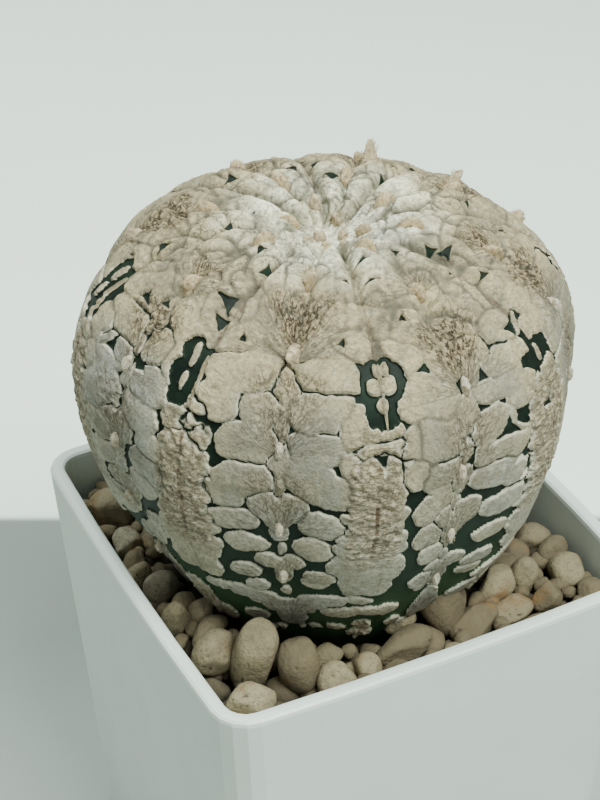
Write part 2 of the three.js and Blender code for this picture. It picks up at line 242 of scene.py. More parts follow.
PLANT_MIDDLE = (0, 0, 0.1)
add_lamp("soft_key", (0.09, -0.36, 0.71), PLANT_MIDDLE, 0.36, 10.2, (0.93, 1.0, 0.925))
add_lamp("soft_back", (-0.07, 0.30, 0.74), PLANT_MIDDLE, 0.5, 5.6, (0.91, 1.0, 0.95))

world = bpy.data.worlds.new("pale_room")
world.use_nodes = True
sky = world.node_tree.nodes["Background"]
sky.inputs["Color"].default_value = (0.85, 0.94, 0.89, 1)
sky.inputs["Strength"].default_value = 0.53
bpy.context.scene.world = world

floor_mesh = bpy.data.meshes.new("floor")
floor_mesh.from_pydata([(-3, -3, 0), (3, -3, 0), (3, 3, 0), (-3, 3, 0)], [], [(0, 1, 2, 3)])
floor = bpy.data.objects.new("floor", floor_mesh)
bpy.context.scene.collection.objects.link(floor)
floor_paint, tree, shader = material("pale_sheet", 0.8)
AWAY = (0.4526, 0.8917, 0)
back = node("ShaderNodeVectorMath", {0: place(), 1: AWAY}, operation="DOT_PRODUCT").outputs["Value"]
# The near tone darkens towards the line where it meets the pale part: a painted shadow along that line.
near = blend(remap(back, 0.02, 0.10), (0.33, 0.375, 0.35), (0.20, 0.235, 0.215))
far = blend(speckle(4, 0.3, 0.7), (0.86, 0.95, 0.87), (0.90, 0.98, 0.91))
feed(shader, {"Base Color": blend(remap(back, 0.0985, 0.1015), near, far)})
floor_mesh.materials.append(floor_paint)
print("floor and", len(bpy.data.lights), "lamps")

# %% [markdown]
# The plant's form is a turned profile with eight ribs. The profile is a handful of
# points with a smooth curve through them, the same ones that the solid was made from.
# Distances down the skin are measured along that curve from the crown's centre, because
# plates and areoles are spaced along the skin and not by height. Wherever a feature
# comes or goes below, the numbers are such distances, in millimetres.

# %% Profile of the plant
PLANT_X, PLANT_Y = 0.5, 3.5
PROFILE = [
    (0, 50), (3.5, 50.8), (8, 53.2), (14, 54.4), (20, 53.3), (26.5, 50.5), (31.8, 46.8), (36, 41.5),
    (38.3, 35), (38.6, 29), (37.8, 21.5), (35.6, 13), (32.2, 4.6), (29, -1.5), (26.3, -6.5),
    (23.5, -11), (19.4, -16.8),
]
RIBS = 8
RIB_ANGLE = 360 / RIBS
AREOLE_AZIMUTH = 7
LINE_LEAN = np.array([1.5, -1, 1, -1.5, 0.5, 0, -5, 1])
FIRST_AREOLE = [10.7, 14.7, 14.7, 7, 12.7, 4.7, 9.7, 12.7]
AREOLE_SPACING = 13.3
LAST_AREOLE = 80


def smooth(low, high, x):
    """Eased step from 0 at low to 1 at high."""
    t = np.clip((x - low) / (high - low), 0, 1)
    return t * t * (3 - 2 * t)


def line(away, width):
    """A soft line: 1 where the distance is 0, and falling to 0 over a width."""
    return np.exp(-((away / width) ** 2))


def zone(x, low, in_full, full_until, high):
    """1 in the middle of a stretch, easing in and out at its ends."""
    return smooth(low, in_full, x) * (1 - smooth(full_until, high, x))


def spline(points, samples=4000):
    """A uniform Catmull-Rom curve through points in a plane."""
    p = np.array(points, float)
    at = np.linspace(0, len(p) - 1, samples)
    i = np.minimum(at.astype(int), len(p) - 2)
    w = (at - i)[:, None]
    before, here, after = p[np.maximum(i - 1, 0)], p[i], p[i + 1]
    beyond = p[np.minimum(i + 2, len(p) - 1)]
    leave, arrive = (after - before) / 2, (beyond - here) / 2
    return (
        (2 * w**3 - 3 * w**2 + 1) * here + (w**3 - 2 * w**2 + w) * leave
        + (3 * w**2 - 2 * w**3) * after + (w**3 - w**2) * arrive
    )


curve = spline(PROFILE)
steps = np.diff(curve, axis=0)
arc = np.r_[0, np.cumsum(np.hypot(*steps.T))]
tangent = np.gradient(curve, arc, axis=0)
tangent /= np.hypot(*tangent.T)[:, None]
ARC = arc[-1]


def along_profile(s):
    """Radius, height and direction of the profile at a distance down the skin."""
    return [np.interp(s, arc, values) for values in (*curve.T, *tangent.T)]


def half_rib_width(s):
    """Distance from an areole line to the next furrow, in millimetres."""
    return np.pi * np.maximum(np.interp(s, arc, curve[:, 0]), 0.5) / RIBS


print("the skin runs", round(ARC, 1), "mm from the crown to the buried foot")

# %% [markdown]
# Nature never repeats itself exactly, so smooth random fields are needed again and
# again: a value is drawn for each corner of a grid of little cubes and eased between
# the corners. The draws come from whole-number arithmetic, so each run gives the same.

# %% Random fields
def corner_value(cell, seed):
    """A fixed value from 0 to 1 for each whole-number cell."""
    mixed = cell[..., 0] * 73856093 ^ cell[..., 1] * 19349663 ^ cell[..., 2] * 83492791 ^ seed * 40503
    mixed = (mixed ^ (mixed >> 13)) * 1274126177 & 0xFFFFFFFF
    return ((mixed ^ (mixed >> 15)) & 0xFFFF) / 65535


def field(points, size, seed):
    """A smooth random field from -1 to 1, with features of a given size."""
    q = points / size
    base = np.floor(q).astype(np.int64)
    f = q - base
    f = f * f * (3 - 2 * f)
    total = np.zeros(points.shape[:-1])
    for corner in range(8):
        pick = np.array([corner & 1, corner >> 1 & 1, corner >> 2 & 1])
        total += np.prod(np.where(pick, f, 1 - f), axis=-1) * corner_value(base + pick, seed)
    return total * 2 - 1


def draws(seed):
    """Repeatable random numbers from 0 to 1, the same sequence as in the solid's source."""
    state = seed
    while True:
        state = (state + 0x6D2B79F5) & 0xFFFFFFFF
        t = (state ^ (state >> 15)) * (state | 1) & 0xFFFFFFFF
        t = ((t + ((t ^ (t >> 7)) * (t | 61))) ^ t) & 0xFFFFFFFF
        yield (t ^ (t >> 14)) / 4294967296


# %% [markdown]
# The skin is one regular grid: columns run round the plant and rows run down it. Each
# grid point knows its rib, its share of the way from the areole line (0) to the furrow
# (1) and its distance down the skin. The grid is fine enough, at about a quarter of a
# millimetre, to carry the plates as real relief, so light and outline both see them.

# %% Grid of the skin
COLUMNS = 100
ROW_STEP = 0.24
LAST_ROW = 94.0
turns = np.arange(RIBS * COLUMNS) / COLUMNS - 0.5
rows = np.r_[0, np.arange(0.4, LAST_ROW, ROW_STEP), np.linspace(LAST_ROW, ARC, 8)]
TURN, S = np.meshgrid(turns, rows)
RIB = np.floor(TURN + 0.5).astype(int)
SIDE = TURN - RIB
U = np.abs(SIDE) * 2
WIDTH = half_rib_width(S)


def rib_offset(u, s):
    """How far the ribs stand off the profile: lobes on the crown, broad flutes lower down."""
    crown = 1 - smooth(22, 40, s)
    lobe = 1.5 * (np.sin(np.pi * np.minimum(u * 0.92 + 0.06, 1)) - 0.62)
    valley = 0.45 - 1.3 * (1 - u) ** 2
    return zone(s, 0, 9, 80, ARC) * (crown * lobe + (1 - crown) * valley)


def skin_point(rib, side_u, s, lift):
    """Places on the plant, in millimetres, lift being the height off the ribbed form."""
    radius, height, run_out, run_up = along_profile(s)
    u = np.abs(side_u)
    lean = LINE_LEAN[rib % RIBS] * smooth(34, 58, s) * (1 - u)
    azimuth = np.radians(AREOLE_AZIMUTH + rib * RIB_ANGLE + lean + side_u * RIB_ANGLE / 2)
    off = lift + rib_offset(u, s)
    out = np.maximum(radius - run_up * off, 0.02)
    return np.stack([
        PLANT_X + out * np.cos(azimuth),
        PLANT_Y + out * np.sin(azimuth),
        RIM + height + run_out * off,
    ], axis=-1)


def side_lean(turn, s):
    """How much fuller the plant has grown on its left side, and slimmer on its right."""
    shoulder = 0.9 * line(turn - 2.6, 0.7) * zone(s, 16, 24, 36, 48)
    flank = line(turn - 3.5, 0.6) * zone(s, 32, 44, 74, 84)
    hollow = 0.8 * line(turn - 6.95, 0.5) * zone(s, 40, 48, 66, 76)
    return shoulder + flank - hollow


PLAIN = skin_point(RIB, SIDE * 2, S, np.zeros_like(S))
print("skin grid", S.shape, "points")

# %% [markdown]
# Now the plates. On the plant they are felted flecks that have grown until they touch,
# in a pattern that mirrors itself about every areole line and every furrow. One half
# rib is therefore laid out as rounded patches, in two versions, and the ribs
# take turns with them. A plate is one patch or several that run together: share across
# the half rib, distance down the skin, half width, half length and, where a patch lies
# askew, its angle. The foot also has a long plate like a bow tie under the nearest rib
# (BAND), a low bar across each furrow but two (LOW_BAR) and a few old scars (SCARS).

# %% Layout of the plates
CROWN_PLATES = [
    [(0.50, 5.0, 1.9, 4.6)],
    [(0.48, 12.6, 2.9, 3.4)],
    [(0.24, 18.2, 2.6, 3.4, 8)],
    [(0.76, 18.6, 2.5, 3.3, -12)],
    [(0.46, 24.0, 3.4, 3.2)],
    [(0.88, 25.0, 2.4, 3.4)],
    [(0.14, 27.6, 2.6, 4.4)],
    [(0.78, 30.6, 3.4, 2.2)],
]
PLATES_A = CROWN_PLATES + [
    [(0.38, 34.4, 3.2, 2.7), (0.68, 35.2, 3.3, 2.5), (0.72, 39.7, 2.7, 2.5)],
    [(0.27, 40.0, 2.9, 2.2, -6), (0.40, 45.1, 4.1, 2.6, 4)],
    [(0.36, 50.4, 4.1, 2.5), (0.59, 54.0, 3.1, 1.7, -12)],
    [(0.87, 45.4, 1.5, 1.9)],
    [(0.485, 58.7, 3.7, 1.95, 4)],
    [(0.39, 63.5, 3.3, 1.85, -6)],
    [(0.43, 70.4, 2.2, 1.6)],
    [(0.34, 74.1, 1.7, 1.2, -8)],
    [(0.52, 84.8, 1.9, 1.6)],
    [(0.28, 90.0, 1.0, 0.9)],
]
PLATES_B = CROWN_PLATES + [
    [(0.45, 33.8, 4.6, 2.9), (0.62, 34.4, 3.3, 2.5)],
    [(0.33, 40.0, 4.6, 2.7, 2), (0.48, 39.2, 2.6, 2.0)],
    [(0.68, 42.1, 1.9, 2.7)],
    [(0.32, 45.4, 3.7, 2.3, 3), (0.25, 50.1, 3.3, 2.5), (0.42, 52.3, 3.8, 2.4, 12)],
    [(0.68, 47.6, 1.5, 1.8)],
    [(0.37, 58.3, 3.1, 2.2, 12)],
    [(0.27, 63.3, 3.0, 2.1, 8)],
    [(0.36, 70.2, 2.3, 1.2, 12), (0.29, 72.2, 1.9, 1.0, 10)],
    [(0.24, 89.4, 1.1, 1.2)],
    [(0.58, 86.8, 1.2, 1.0)],
]
AREOLE_PLATES = [
    [(0.0, 36.6, 1.6, 2.6), (0.0, 40.6, 0.7, 3.6)],
    [(0.0, 47.3, 1.4, 2.3), (0.0, 51.0, 0.5, 2.3)],
    [(0.13, 55.4, 2.0, 2.0, 8), (0.05, 57.4, 1.3, 2.0, 20), (0.0, 59.2, 0.95, 3.3)],
    [(0.0, 64.6, 0.55, 1.2)],
    [(0.13, 67.3, 1.9, 1.3, -18), (0.0, 70.2, 1.3, 2.8)],
    [(0.0, 75.7, 0.5, 1.1)],
]
BAND = [(0.0, 84.0, 2.1, 4.3), (0.14, 80.8, 2.4, 2.3, -35), (0.30, 78.4, 2.6, 2.0, -22),
        (0.52, 76.9, 2.8, 1.6, -6), (0.80, 76.5, 2.6, 1.1, 3)]
FURROW_LOBES = [(47.8, 2.2), (50.0, 3.5), (52.2, 4.4), (54.5, 3.9),
                (56.7, 4.8), (58.9, 4.1), (61.1, 5.0), (63.2, 5.8)]
FURROW_PLATES = [
    [(0.90, 42.6, 1.45, 0.95)],
    [(0.88, 45.0, 1.8, 0.9)],
    [(0.95, 56.0, 1.5, 8.5), (0.96, 65.0, 1.3, 5.0), (0.82, 67.4, 2.9, 3.2), (0.86, 71.6, 2.3, 3.0)]
    + [(1 - reach / 30, s, reach / 2, 1.25, 8) for s, reach in FURROW_LOBES],
    [(0.97, 88.6, 1.1, 2.4)],
]
LOW_BAR = [(0.74, 80.9, 3.0, 1.3, 2), (0.95, 80.2, 1.6, 1.2)]
SCARS = [[(4.37, 81.5, 1.7, 2.2), (4.34, 86.0, 2.1, 3.2), (4.33, 90.5, 1.4, 2.4)],
         [(5.44, 86.6, 1.6, 2.2), (5.46, 89.4, 1.3, 2.4)], [(5.03, 88.6, 0.5, 0.5)],
         [(5.12, 88.8, 1.3, 1.5, 20)], [(4.80, 90.4, 1.7, 0.7, -12)]]
WINDOWS = [(4.42, 37.4, 2.9, 4.8), (5.5, 37.2, 3.4, 4.5), (6.5, 40.0, 3.4, 1.9), (7.44, 38.0, 3.0, 4.6),
           (0.5, 37.0, 3.2, 4.4), (1.56, 38.4, 2.6, 5.2), (2.5, 37.6, 3.2, 5.0), (3.42, 37.0, 3.0, 5.4)]
FURROW_LEAN = np.array([-0.8, 0.6, -0.4, 1, -0.3, -1, 0.5, -0.6])
RIB_GROWTH = np.array([0.2, 0, 0.15, 0.1, 0.28, 0.08, 0.36, 0.1])
FOOT_TURNS, FOOT_GROWTH = (3.4, 3.6, 4.3, 4.45, 5.5, 5.6), (0.36, 0.6, 0.6, 0.1, 0.1, 0.36)
LINE_SHIFT = -0.02
SEEN_AREOLES = {
    4: [12.7, 26.0, 41.6, 54.8, 66.4, 79.2], 5: [18.0, 31.3, 45.6, 59.8, 70.9],
    6: [9.7, 23.0, 39.0, 52.2, 64.6, 76.2],
}
AREOLES = []
for rib in range(RIBS):
    spaced = np.arange(FIRST_AREOLE[rib], LAST_AREOLE, AREOLE_SPACING)
    AREOLES.append(SEEN_AREOLES.get(rib) or [s for s in spaced if s > 6])


def furrow_shift(turn, s):
    """The furrows wander a little to one side on their way down, in turns of a rib."""
    lean = FURROW_LEAN[np.floor(turn).astype(int) % RIBS]
    return lean * (0.03 * smooth(36, 44, s) + 0.02 * smooth(44, 53, s) + 0.02 * smooth(58, 66, s))


def line_shift(rib, u, s):
    """Plates near an areole line keep step with its own areoles, as the layout does with rib 5."""
    gap = FIRST_AREOLE[rib % RIBS] - FIRST_AREOLE[5]
    gap -= AREOLE_SPACING * round(gap / AREOLE_SPACING)
    own = AREOLES[rib % RIBS]
    steps = [min(own, key=lambda mark: abs(mark - seen - gap)) - seen for seen in AREOLES[5]]
    return float(np.interp(s, AREOLES[5], steps) * (1 - u) ** 0.7 * zone(s, 8, 20, 68, 80))


def full(patch):
    """A patch with its angle, which is 0 where the layout names none."""
    return (*patch, 0)[:5]


SPREAD = (0.02, 0.35, 0.05, 5)


def vary(rng, rib, patches, side, loose):
    """Moves one plate a little off its place in the layout."""
    du, ds, grow, turn = rng.normal(0, 1, 4) * SPREAD * loose
    out = []
    for u, s, wide, tall, angle in map(full, patches):
        middle = rib + side * (u + du * (0.02 < u < 0.85)) / 2
        shifted = s + ds + line_shift(rib, u, s)
        out.append((middle, shifted, wide * (1 + grow), tall * (1 + grow), (angle + turn) * side))
    return out


# %% All plates of the plant
def window_beads(turn, s, wide, tall):
    """The small pale beads in pairs that stand in a window of bare skin."""
    furrow = math.floor(turn) + 0.5
    if tall < 3:
        beads = [(furrow + 0.02, s, 0.45, 1.4)]
    elif abs(turn - furrow) > 0.02:
        beads = [(turn, s - 2.4, 0.6, 2.0), (turn - 0.01, s + 1.6, 0.5, 1.5),
                 (furrow, s + 0.6, 0.28, 4.6)]
    else:
        off = 1.15 / half_rib_width(s) / 2
        beads = [(furrow - off * 0.3, s - 3.2, 0.42, 1.2), (furrow + off * 0.75, s - 3.2, 0.55, 1.2),
                 (furrow - off * 0.9, s - 0.7, 1.05, 1.35), (furrow + off, s - 0.9, 1.1, 1.4),
                 (furrow, s + 1.9, 0.85, 1.15), (furrow + 0.004, s + 0.6, 0.2, 4.9)]
    size = min(1.0, wide / 3)
    return [[(at, down, w * size, h * size, 0)] for at, down, w, h in beads]


def plate_list():
    """Every plate, as a list of its patches."""
    rng = np.random.default_rng(11)
    plates = []
    for rib in range(RIBS):
        near = rib == 5
        for side in (-1, 1):
            half = PLATES_A if (rib % 2 == 1) == (side == -1) else PLATES_B
            for patches in half:
                plates.append(vary(rng, rib, patches, side, 0.5 if near else 1.2))
        for patches in AREOLE_PLATES + [BAND if near else BAND[:1]]:
            both = vary(rng, rib, patches, 1, 0.4) + vary(rng, rib, patches, -1, 0.4)
            plates.append([(turn + LINE_SHIFT, *rest) for turn, *rest in both])
        for patches in FURROW_PLATES + [LOW_BAR] * (rib not in (3, 4)):
            left = vary(rng, rib, patches, 1, 0.5)
            right = [(2 * rib + 1 - turn, s, wide, tall, -angle) for turn, s, wide, tall, angle in left]
            both = left + right
            plates.append([(turn + furrow_shift(rib + 0.5, s), s, *rest) for turn, s, *rest in both])
    return plates + [[full(patch) for patch in patches] for patches in SCARS]


PLATES = plate_list()
FIRST_BEAD = len(PLATES)
PLATES += [bead for window in WINDOWS for bead in window_beads(*window)]
print(len(PLATES), "plates")

# %% [markdown]
# To turn the layout into relief, each grid point asks every nearby plate how deep inside
# its outline it lies, in millimetres. The deepest answer says which plate the point is
# on, the second deepest how far off the next plate is. Where neither reaches, the green
# skin shows. A little wobble on the question makes the outlines lobed, as grown things
# are, and some growth is added to each plate: most on the crown, little at the foot.

# %% Depth inside the plates
CROWN = 1 - smooth(24, 34, S)
SWAY = 0.46 + 0.5 * CROWN
from_furrow = np.abs(TURN % 1 - 0.5 - furrow_shift(TURN, S)) * 2 * WIDTH
FRAY = 0.24 + 0.2 * smooth(6.5, 3.5, from_furrow) * smooth(40, 46, S)
WOBBLE = np.stack([
    SWAY * field(PLAIN, 3.1, 1) + FRAY * field(PLAIN, 1.0, 2) + 0.4 * FRAY * field(PLAIN, 0.5, 5),
    SWAY * field(PLAIN, 3.1, 3) + FRAY * field(PLAIN, 1.0, 4) + 0.4 * FRAY * field(PLAIN, 0.5, 6),
])
FAR = -9.0
PATCH_POWER = 2.3
CROWN_GROWTH, FLANK_GROWTH, LEAST_GROWTH = 0.9, 0.48, 0.14


def offsets(turn, s, window, sway):
    """How far each point of a window lies from a place, across and down the skin."""
    x = (TURN[window] - turn + RIBS / 2) % RIBS - RIBS / 2
    return x * 2 * WIDTH[window] + sway * WOBBLE[0][window], S[window] - s + sway * WOBBLE[1][window]


def turned(x, y, angle):
    """The same offsets, measured along axes that are turned by some degrees."""
    c, d = math.cos(math.radians(angle)), math.sin(math.radians(angle))
    return x * c + y * d, y * c - x * d


def patch_depth(patch, window, sway):
    """Depth inside one rounded patch, negative outside it."""
    turn, s, wide, tall, angle = patch
    along, over = turned(*offsets(turn, s, window, sway), angle)
    reach = np.hypot(along, over) + 1e-6
    size = (np.abs(along / wide) ** PATCH_POWER + np.abs(over / tall) ** PATCH_POWER) ** (1 / PATCH_POWER)
    return reach / size - reach


def nearby(patches, margin=3.4):
    """The part of the grid round some patches."""
    turn, s, wide, tall, _ = np.array(patches).T
    reach = np.maximum(wide, tall) + margin
    low = (s - reach).min()
    down = np.nonzero((rows > low) & (rows < (s + reach).max()))[0]
    half_span = reach / half_rib_width(max(low, 3.0)) / 2
    first = math.floor(((turn - half_span).min() + 0.5) * COLUMNS)
    last = math.ceil(((turn + half_span).max() + 0.5) * COLUMNS)
    across = np.arange(first, min(last, first + RIBS * COLUMNS)) % (RIBS * COLUMNS)
    return np.ix_(down, across)


WINDOW = np.full(S.shape, FAR)
for turn, s, wide, tall in WINDOWS:
    patch = (turn, s, wide, tall, 0)
    window = nearby([patch])
    WINDOW[window] = np.maximum(WINDOW[window], patch_depth(patch, window, 2.4))

DEPTH = np.full(S.shape, FAR)
NEXT = np.full(S.shape, FAR)
OWNER = np.zeros(S.shape, int)
for number, patches in enumerate(PLATES):
    window = nearby(patches)
    is_bead = number >= FIRST_BEAD
    depth = np.full(DEPTH[window].shape, FAR)
    for patch in patches:
        depth = np.maximum(depth, patch_depth(patch, window, 0.6 if is_bead else 1.0))
    if not is_bead:
        flank = (FLANK_GROWTH + RIB_GROWTH[RIB[window] % RIBS]) * (1 - smooth(52, 60, S[window]))
        foot = np.interp(TURN[window], FOOT_TURNS, FOOT_GROWTH) * smooth(54, 60, S[window])
        growth = CROWN_GROWTH * CROWN[window] + LEAST_GROWTH + flank + foot
        depth = np.minimum(depth + growth, -WINDOW[window])
    best, second, owner = DEPTH[window], NEXT[window], OWNER[window]
    wins = depth > best
    NEXT[window] = np.where(wins, best, np.maximum(second, depth))
    OWNER[window] = np.where(wins, number, owner)
    DEPTH[window] = np.where(wins, depth, best)
print("share of green skin", round(float((DEPTH < 0).mean()), 3))

# %% [markdown]
# On the crown the plates have grown together, and only a few dark holes are left where
# three of them meet. Such a hole is the space between three touching discs, and it is
# drawn as just that. Those on the near side were placed one by one, as turn, distance,
# half width, half length and angle, and the far side gets others like them. The last
# ones lie further down on the sides, where the plates have grown just as thick.

# %% Holes of the crown
CROWN_HOLES = [
    (1.45, 27.0, 1.2, 1.1), (1.23, 13.8, 1.7, 0.9, 10), (0.52, 16.2, 1.0, 1.3),
    (3.00, 12.8, 0.8, 0.9, 30), (3.42, 16.0, 0.9, 1.5, 60), (4.19, 15.0, 1.3, 1.1, 40),
    (4.50, 17.8, 1.5, 1.2, -30), (5.69, 14.6, 1.6, 0.9), (5.63, 19.4, 1.7, 0.7),
    (5.36, 18.6, 0.8, 0.6, 30), (6.18, 15.0, 0.6, 0.8), (6.57, 17.4, 1.0, 1.3, 20),
    (6.62, 20.0, 1.2, 1.4, -20), (6.40, 22.2, 0.7, 1.1), (4.38, 25.8, 2.2, 1.5, 35),
    (4.45, 28.8, 1.5, 1.4, 50), (3.04, 23.8, 1.0, 2.2, 50), (6.64, 26.2, 1.3, 1.0),
    (5.74, 26.6, 0.9, 0.8, 20), (3.96, 30.6, 1.1, 1.0), (0.56, 28.8, 1.3, 1.0), (6.56, 33.8, 1.0, 1.2),
    (3.40, 27.2, 1.2, 1.6, 20), (2.36, 21.6, 1.2, 1.1), (1.72, 17.5, 1.1, 0.8),
    (2.62, 15.4, 1.2, 0.9, 20), (0.30, 22.6, 1.0, 1.3), (7.40, 16.4, 1.3, 0.9),
    (7.68, 23.0, 1.2, 1.0, 15), (7.34, 27.6, 1.3, 1.0), (1.40, 21.0, 0.9, 1.3), (2.58, 28.4, 1.4, 1.1),
    (0.60, 22.8, 1.3, 0.9, 30), (1.70, 29.6, 1.1, 1.0), (4.66, 30.6, 0.8, 0.8),
    (5.30, 29.8, 0.6, 0.9, 30), (5.48, 46.9, 1.7, 1.1, 60), (6.22, 47.8, 2.5, 1.9),
    (6.33, 52.6, 0.9, 2.6, 20), (6.36, 56.4, 0.9, 2.4), (6.12, 38.5, 1.0, 1.3),
    (6.46, 34.4, 1.2, 2.6, 50), (6.51, 47.8, 1.2, 1.3, 20), (3.83, 40.8, 1.6, 1.8),
    (4.11, 40.2, 1.0, 1.2), (3.80, 32.0, 1.3, 1.2),
]
HOLE_REACH, DISC_AWAY, DISC_RADIUS = 1.6, 3.53, 3.10
HOLE = np.full(S.shape, FAR)
for turn, s, wide, tall, angle in map(full, CROWN_HOLES):
    window = nearby([(turn, s, wide, tall, 0)], 1.0)
    x, y = turned(*offsets(turn, s, window, 0.7), angle)
    x, y = x / wide, y / tall
    outside = np.where(np.hypot(x, y) < HOLE_REACH, -FAR, FAR)
    for a in np.radians([90, 210, 330]):
        to_disc = np.hypot(x - DISC_AWAY * math.cos(a), y - DISC_AWAY * math.sin(a)) - DISC_RADIUS
        outside = np.minimum(outside, to_disc)
    HOLE[window] = np.maximum(HOLE[window], outside * min(wide, tall))
print(len(CROWN_HOLES), "holes on the crown")

# %% [markdown]
# Now the relief. A plate is a thin sheet with a crisp edge, so it rises within a third of
# a millimetre and then stays nearly flat. On the crown it is padded by its neighbours.
# Seams between plates are open only in places: elsewhere two plates have fused.

# %% Seams and edges
GROOVE_DEPTH = 0.5
PLATES_END = 92
SEAM = (DEPTH - NEXT) / 2
fused = smooth(-0.1, 0.2, field(PLAIN, 4.2, 8))
SEAM_CLOSED = 0.9 * CROWN + 0.5 * fused * (1 - smooth(52, 60, S)) - 0.13
own = np.minimum(np.minimum(DEPTH, SEAM + SEAM_CLOSED), -HOLE)
own = np.where(S > PLATES_END - 2, np.minimum(own, (PLATES_END - S) * 0.6), own)
PLATE = smooth(-0.03, 0.13, own)
RISE = 1 - (1 - smooth(-0.05, 0.28, own)) ** 1.7
padding = 0.16 + 0.8 * CROWN * (0.7 + 0.3 * field(PLAIN, 5.0, 9))
DOME = padding * (1 - np.exp(-np.maximum(SEAM, 0) / 1.1))
pressed = 0.45 + 0.55 * smooth(-0.3, 0.4, field(PLAIN, 6.0, 10))
CREASE = line(np.maximum(SEAM, 0), 0.25) * PLATE * pressed
SWAYED = PLAIN + 0.5 * WOBBLE[0][..., None]
fold = line(field(SWAYED, 4.6, 12), 0.09) * smooth(4, 10, S) * CROWN
past_furrow = (TURN % 1 - 0.5) * 2 * WIDTH + 1.1 * smooth(4, 12, S) * field(PLAIN, 4.4, 13)
FURROW_FOLD = line(past_furrow, 0.65) * zone(S, 3, 7, 30, 40) * (1 - 0.5 * smooth(16, 26, S))

# %% [markdown]
# Three finer things lie on the plates. Wool and hair run in ridges that converge on the
# next areole below. The furrows carry a crust with wrinkles across it. And every plate
# has a faint felt. The converging ridges need polar coordinates about the areole that a
# point looks down to, so those are worked out once for each grid point.

# %% Directions to the areoles
below = np.zeros(S.shape)
for rib in range(RIBS):
    own_rib = RIB == rib
    marks = np.array([*AREOLES[rib], AREOLES[rib][-1] + AREOLE_SPACING])
    below[own_rib] = marks[np.searchsorted(marks, S[own_rib] - 0.6).clip(0, len(marks) - 1)]
X_LINE = (SIDE - LINE_SHIFT * smooth(38, 44, S)) * 2 * WIDTH
Y_LINE = below - S
REACH = np.hypot(X_LINE, Y_LINE)
FAN = np.arctan2(X_LINE, Y_LINE + 0.8)

# %% Hair, crust and felt
polar = np.stack([FAN * 7.5, REACH * 0.22, below * 3.1 + RIB], axis=-1)
fine_polar = np.stack([FAN * 17, REACH * 0.5, below * 1.7 + RIB * 5], axis=-1)
STREAK = 0.6 * field(polar, 1.0, 21) + 0.4 * field(fine_polar, 1.0, 22)
tangle_place = np.stack([FAN * 10 + 1.8 * WOBBLE[0], REACH + 1.4 * WOBBLE[1], RIB * 3 + below], axis=-1)
tangle = np.minimum(np.abs(field(tangle_place, 1.0, 23)), np.abs(field(PLAIN, 0.9, 24)) * 1.5 + 0.05)
beard_zone = smooth(0.8, 0.3, np.abs(FAN)) * smooth(13.5, 9, REACH) * smooth(0.3, 1.2, REACH)
age = smooth(19, 24, S) * (1 - 0.6 * smooth(34, 38, S)) * (1 - smooth(50, 62, S))
BEARD = beard_zone * age
RIDGE = 1 - smooth(0.04, 0.3, tangle)
MATTED = zone(S, 17, 24, 31, 37) * (0.5 + 0.5 * smooth(-0.3, 0.3, field(PLAIN, 7.0, 25)))
matting = 1 - smooth(0.0, 0.4, np.abs(field(SWAYED, 1.1, 26)))

SCAR = sum(
    smooth(1.25, 0.8, np.hypot((TURN - turn) * 2 * WIDTH / 2.6, (S - s) / tall))
    for turn, s, tall in ((4.34, 86.5, 6.5), (5.45, 88.0, 4.0))
)
CRUST = smooth(5.6, 3.2, from_furrow) * zone(S, 22, 28, 62, 70) * (0.3 + 0.7 * smooth(41, 46, S))
wrinkle_place = np.stack([from_furrow * 0.5, S * 1.5 + 2.4 * WOBBLE[1], RIB * 2 + np.sign(SIDE)], axis=-1)
wrinkle = field(wrinkle_place, 1.0, 31)
crumb = field(PLAIN, 0.6, 32)
lump = field(PLAIN + WOBBLE[1][..., None], 1.5, 33)
FELT = field(PLAIN, 0.85, 41)
FURROW_LINE = line(from_furrow, 0.2) * zone(S, 12, 16, 62, 70)

# %% Height of the skin
# Each line adds one kind of relief, in millimetres.
HEIGHT = (
    -GROOVE_DEPTH + GROOVE_DEPTH * RISE + (DOME - 0.35 * CROWN) * PLATE - (0.16 + 0.16 * CROWN) * CREASE
    - 0.38 * fold * PLATE - 0.8 * FURROW_FOLD
    + PLATE * (0.06 * STREAK * smooth(10, 4, REACH) * (1 - BEARD) - 0.38 * BEARD * RIDGE + 0.2 * BEARD)
    + PLATE * MATTED * (1 - BEARD) * (0.06 - 0.12 * matting)
    + PLATE * CRUST * (0.24 * wrinkle + 0.13 * lump + 0.16 * crumb + 0.14)
    + 0.035 * FELT * PLATE - 0.22 * FURROW_LINE * PLATE + 0.07 * field(PLAIN, 3.5, 44) * PLATE
    + CROWN * smooth(3, 8, S) * (0.16 * field(PLAIN, 2.6, 45) + 0.05 * field(PLAIN, 1.1, 46))
    + PLATE * SCAR * (0.5 * lump + 0.35 * crumb) + side_lean(TURN, S)
)
SKIN = skin_point(RIB, SIDE * 2, S, HEIGHT)
print("relief from", round(float(HEIGHT.min()), 2), "to", round(float(HEIGHT.max()), 2), "mm")

# %% [markdown]
# A mesh from a grid is only bookkeeping: points row by row, and a quad for each cell.
# The plant is handed to Blender in eight pieces cut along the furrows, which keeps each
# piece light. The pieces meet at the same points, and the normals are worked out on the
# whole plant first and given to each piece, so no seam shows between them.

# %% Ribs as meshes
def grid_normals(points):
    """Unit normals of a grid of points that closes on itself sideways."""
    across = np.roll(points, -1, axis=1) - np.roll(points, 1, axis=1)
    normals = np.cross(across, np.gradient(points, axis=0))
    return -normals / (np.linalg.norm(normals, axis=-1, keepdims=True) + 1e-12)


def grid_quads(count_down, count_across):
    """Corner numbers of a grid's quads, wound so that they face outwards."""
    here = np.arange(count_down * count_across).reshape(count_down, count_across)[:-1, :-1]
    below = here + count_across
    return np.stack([here, below, below + 1, here + 1], axis=-1).reshape(-1, 4)


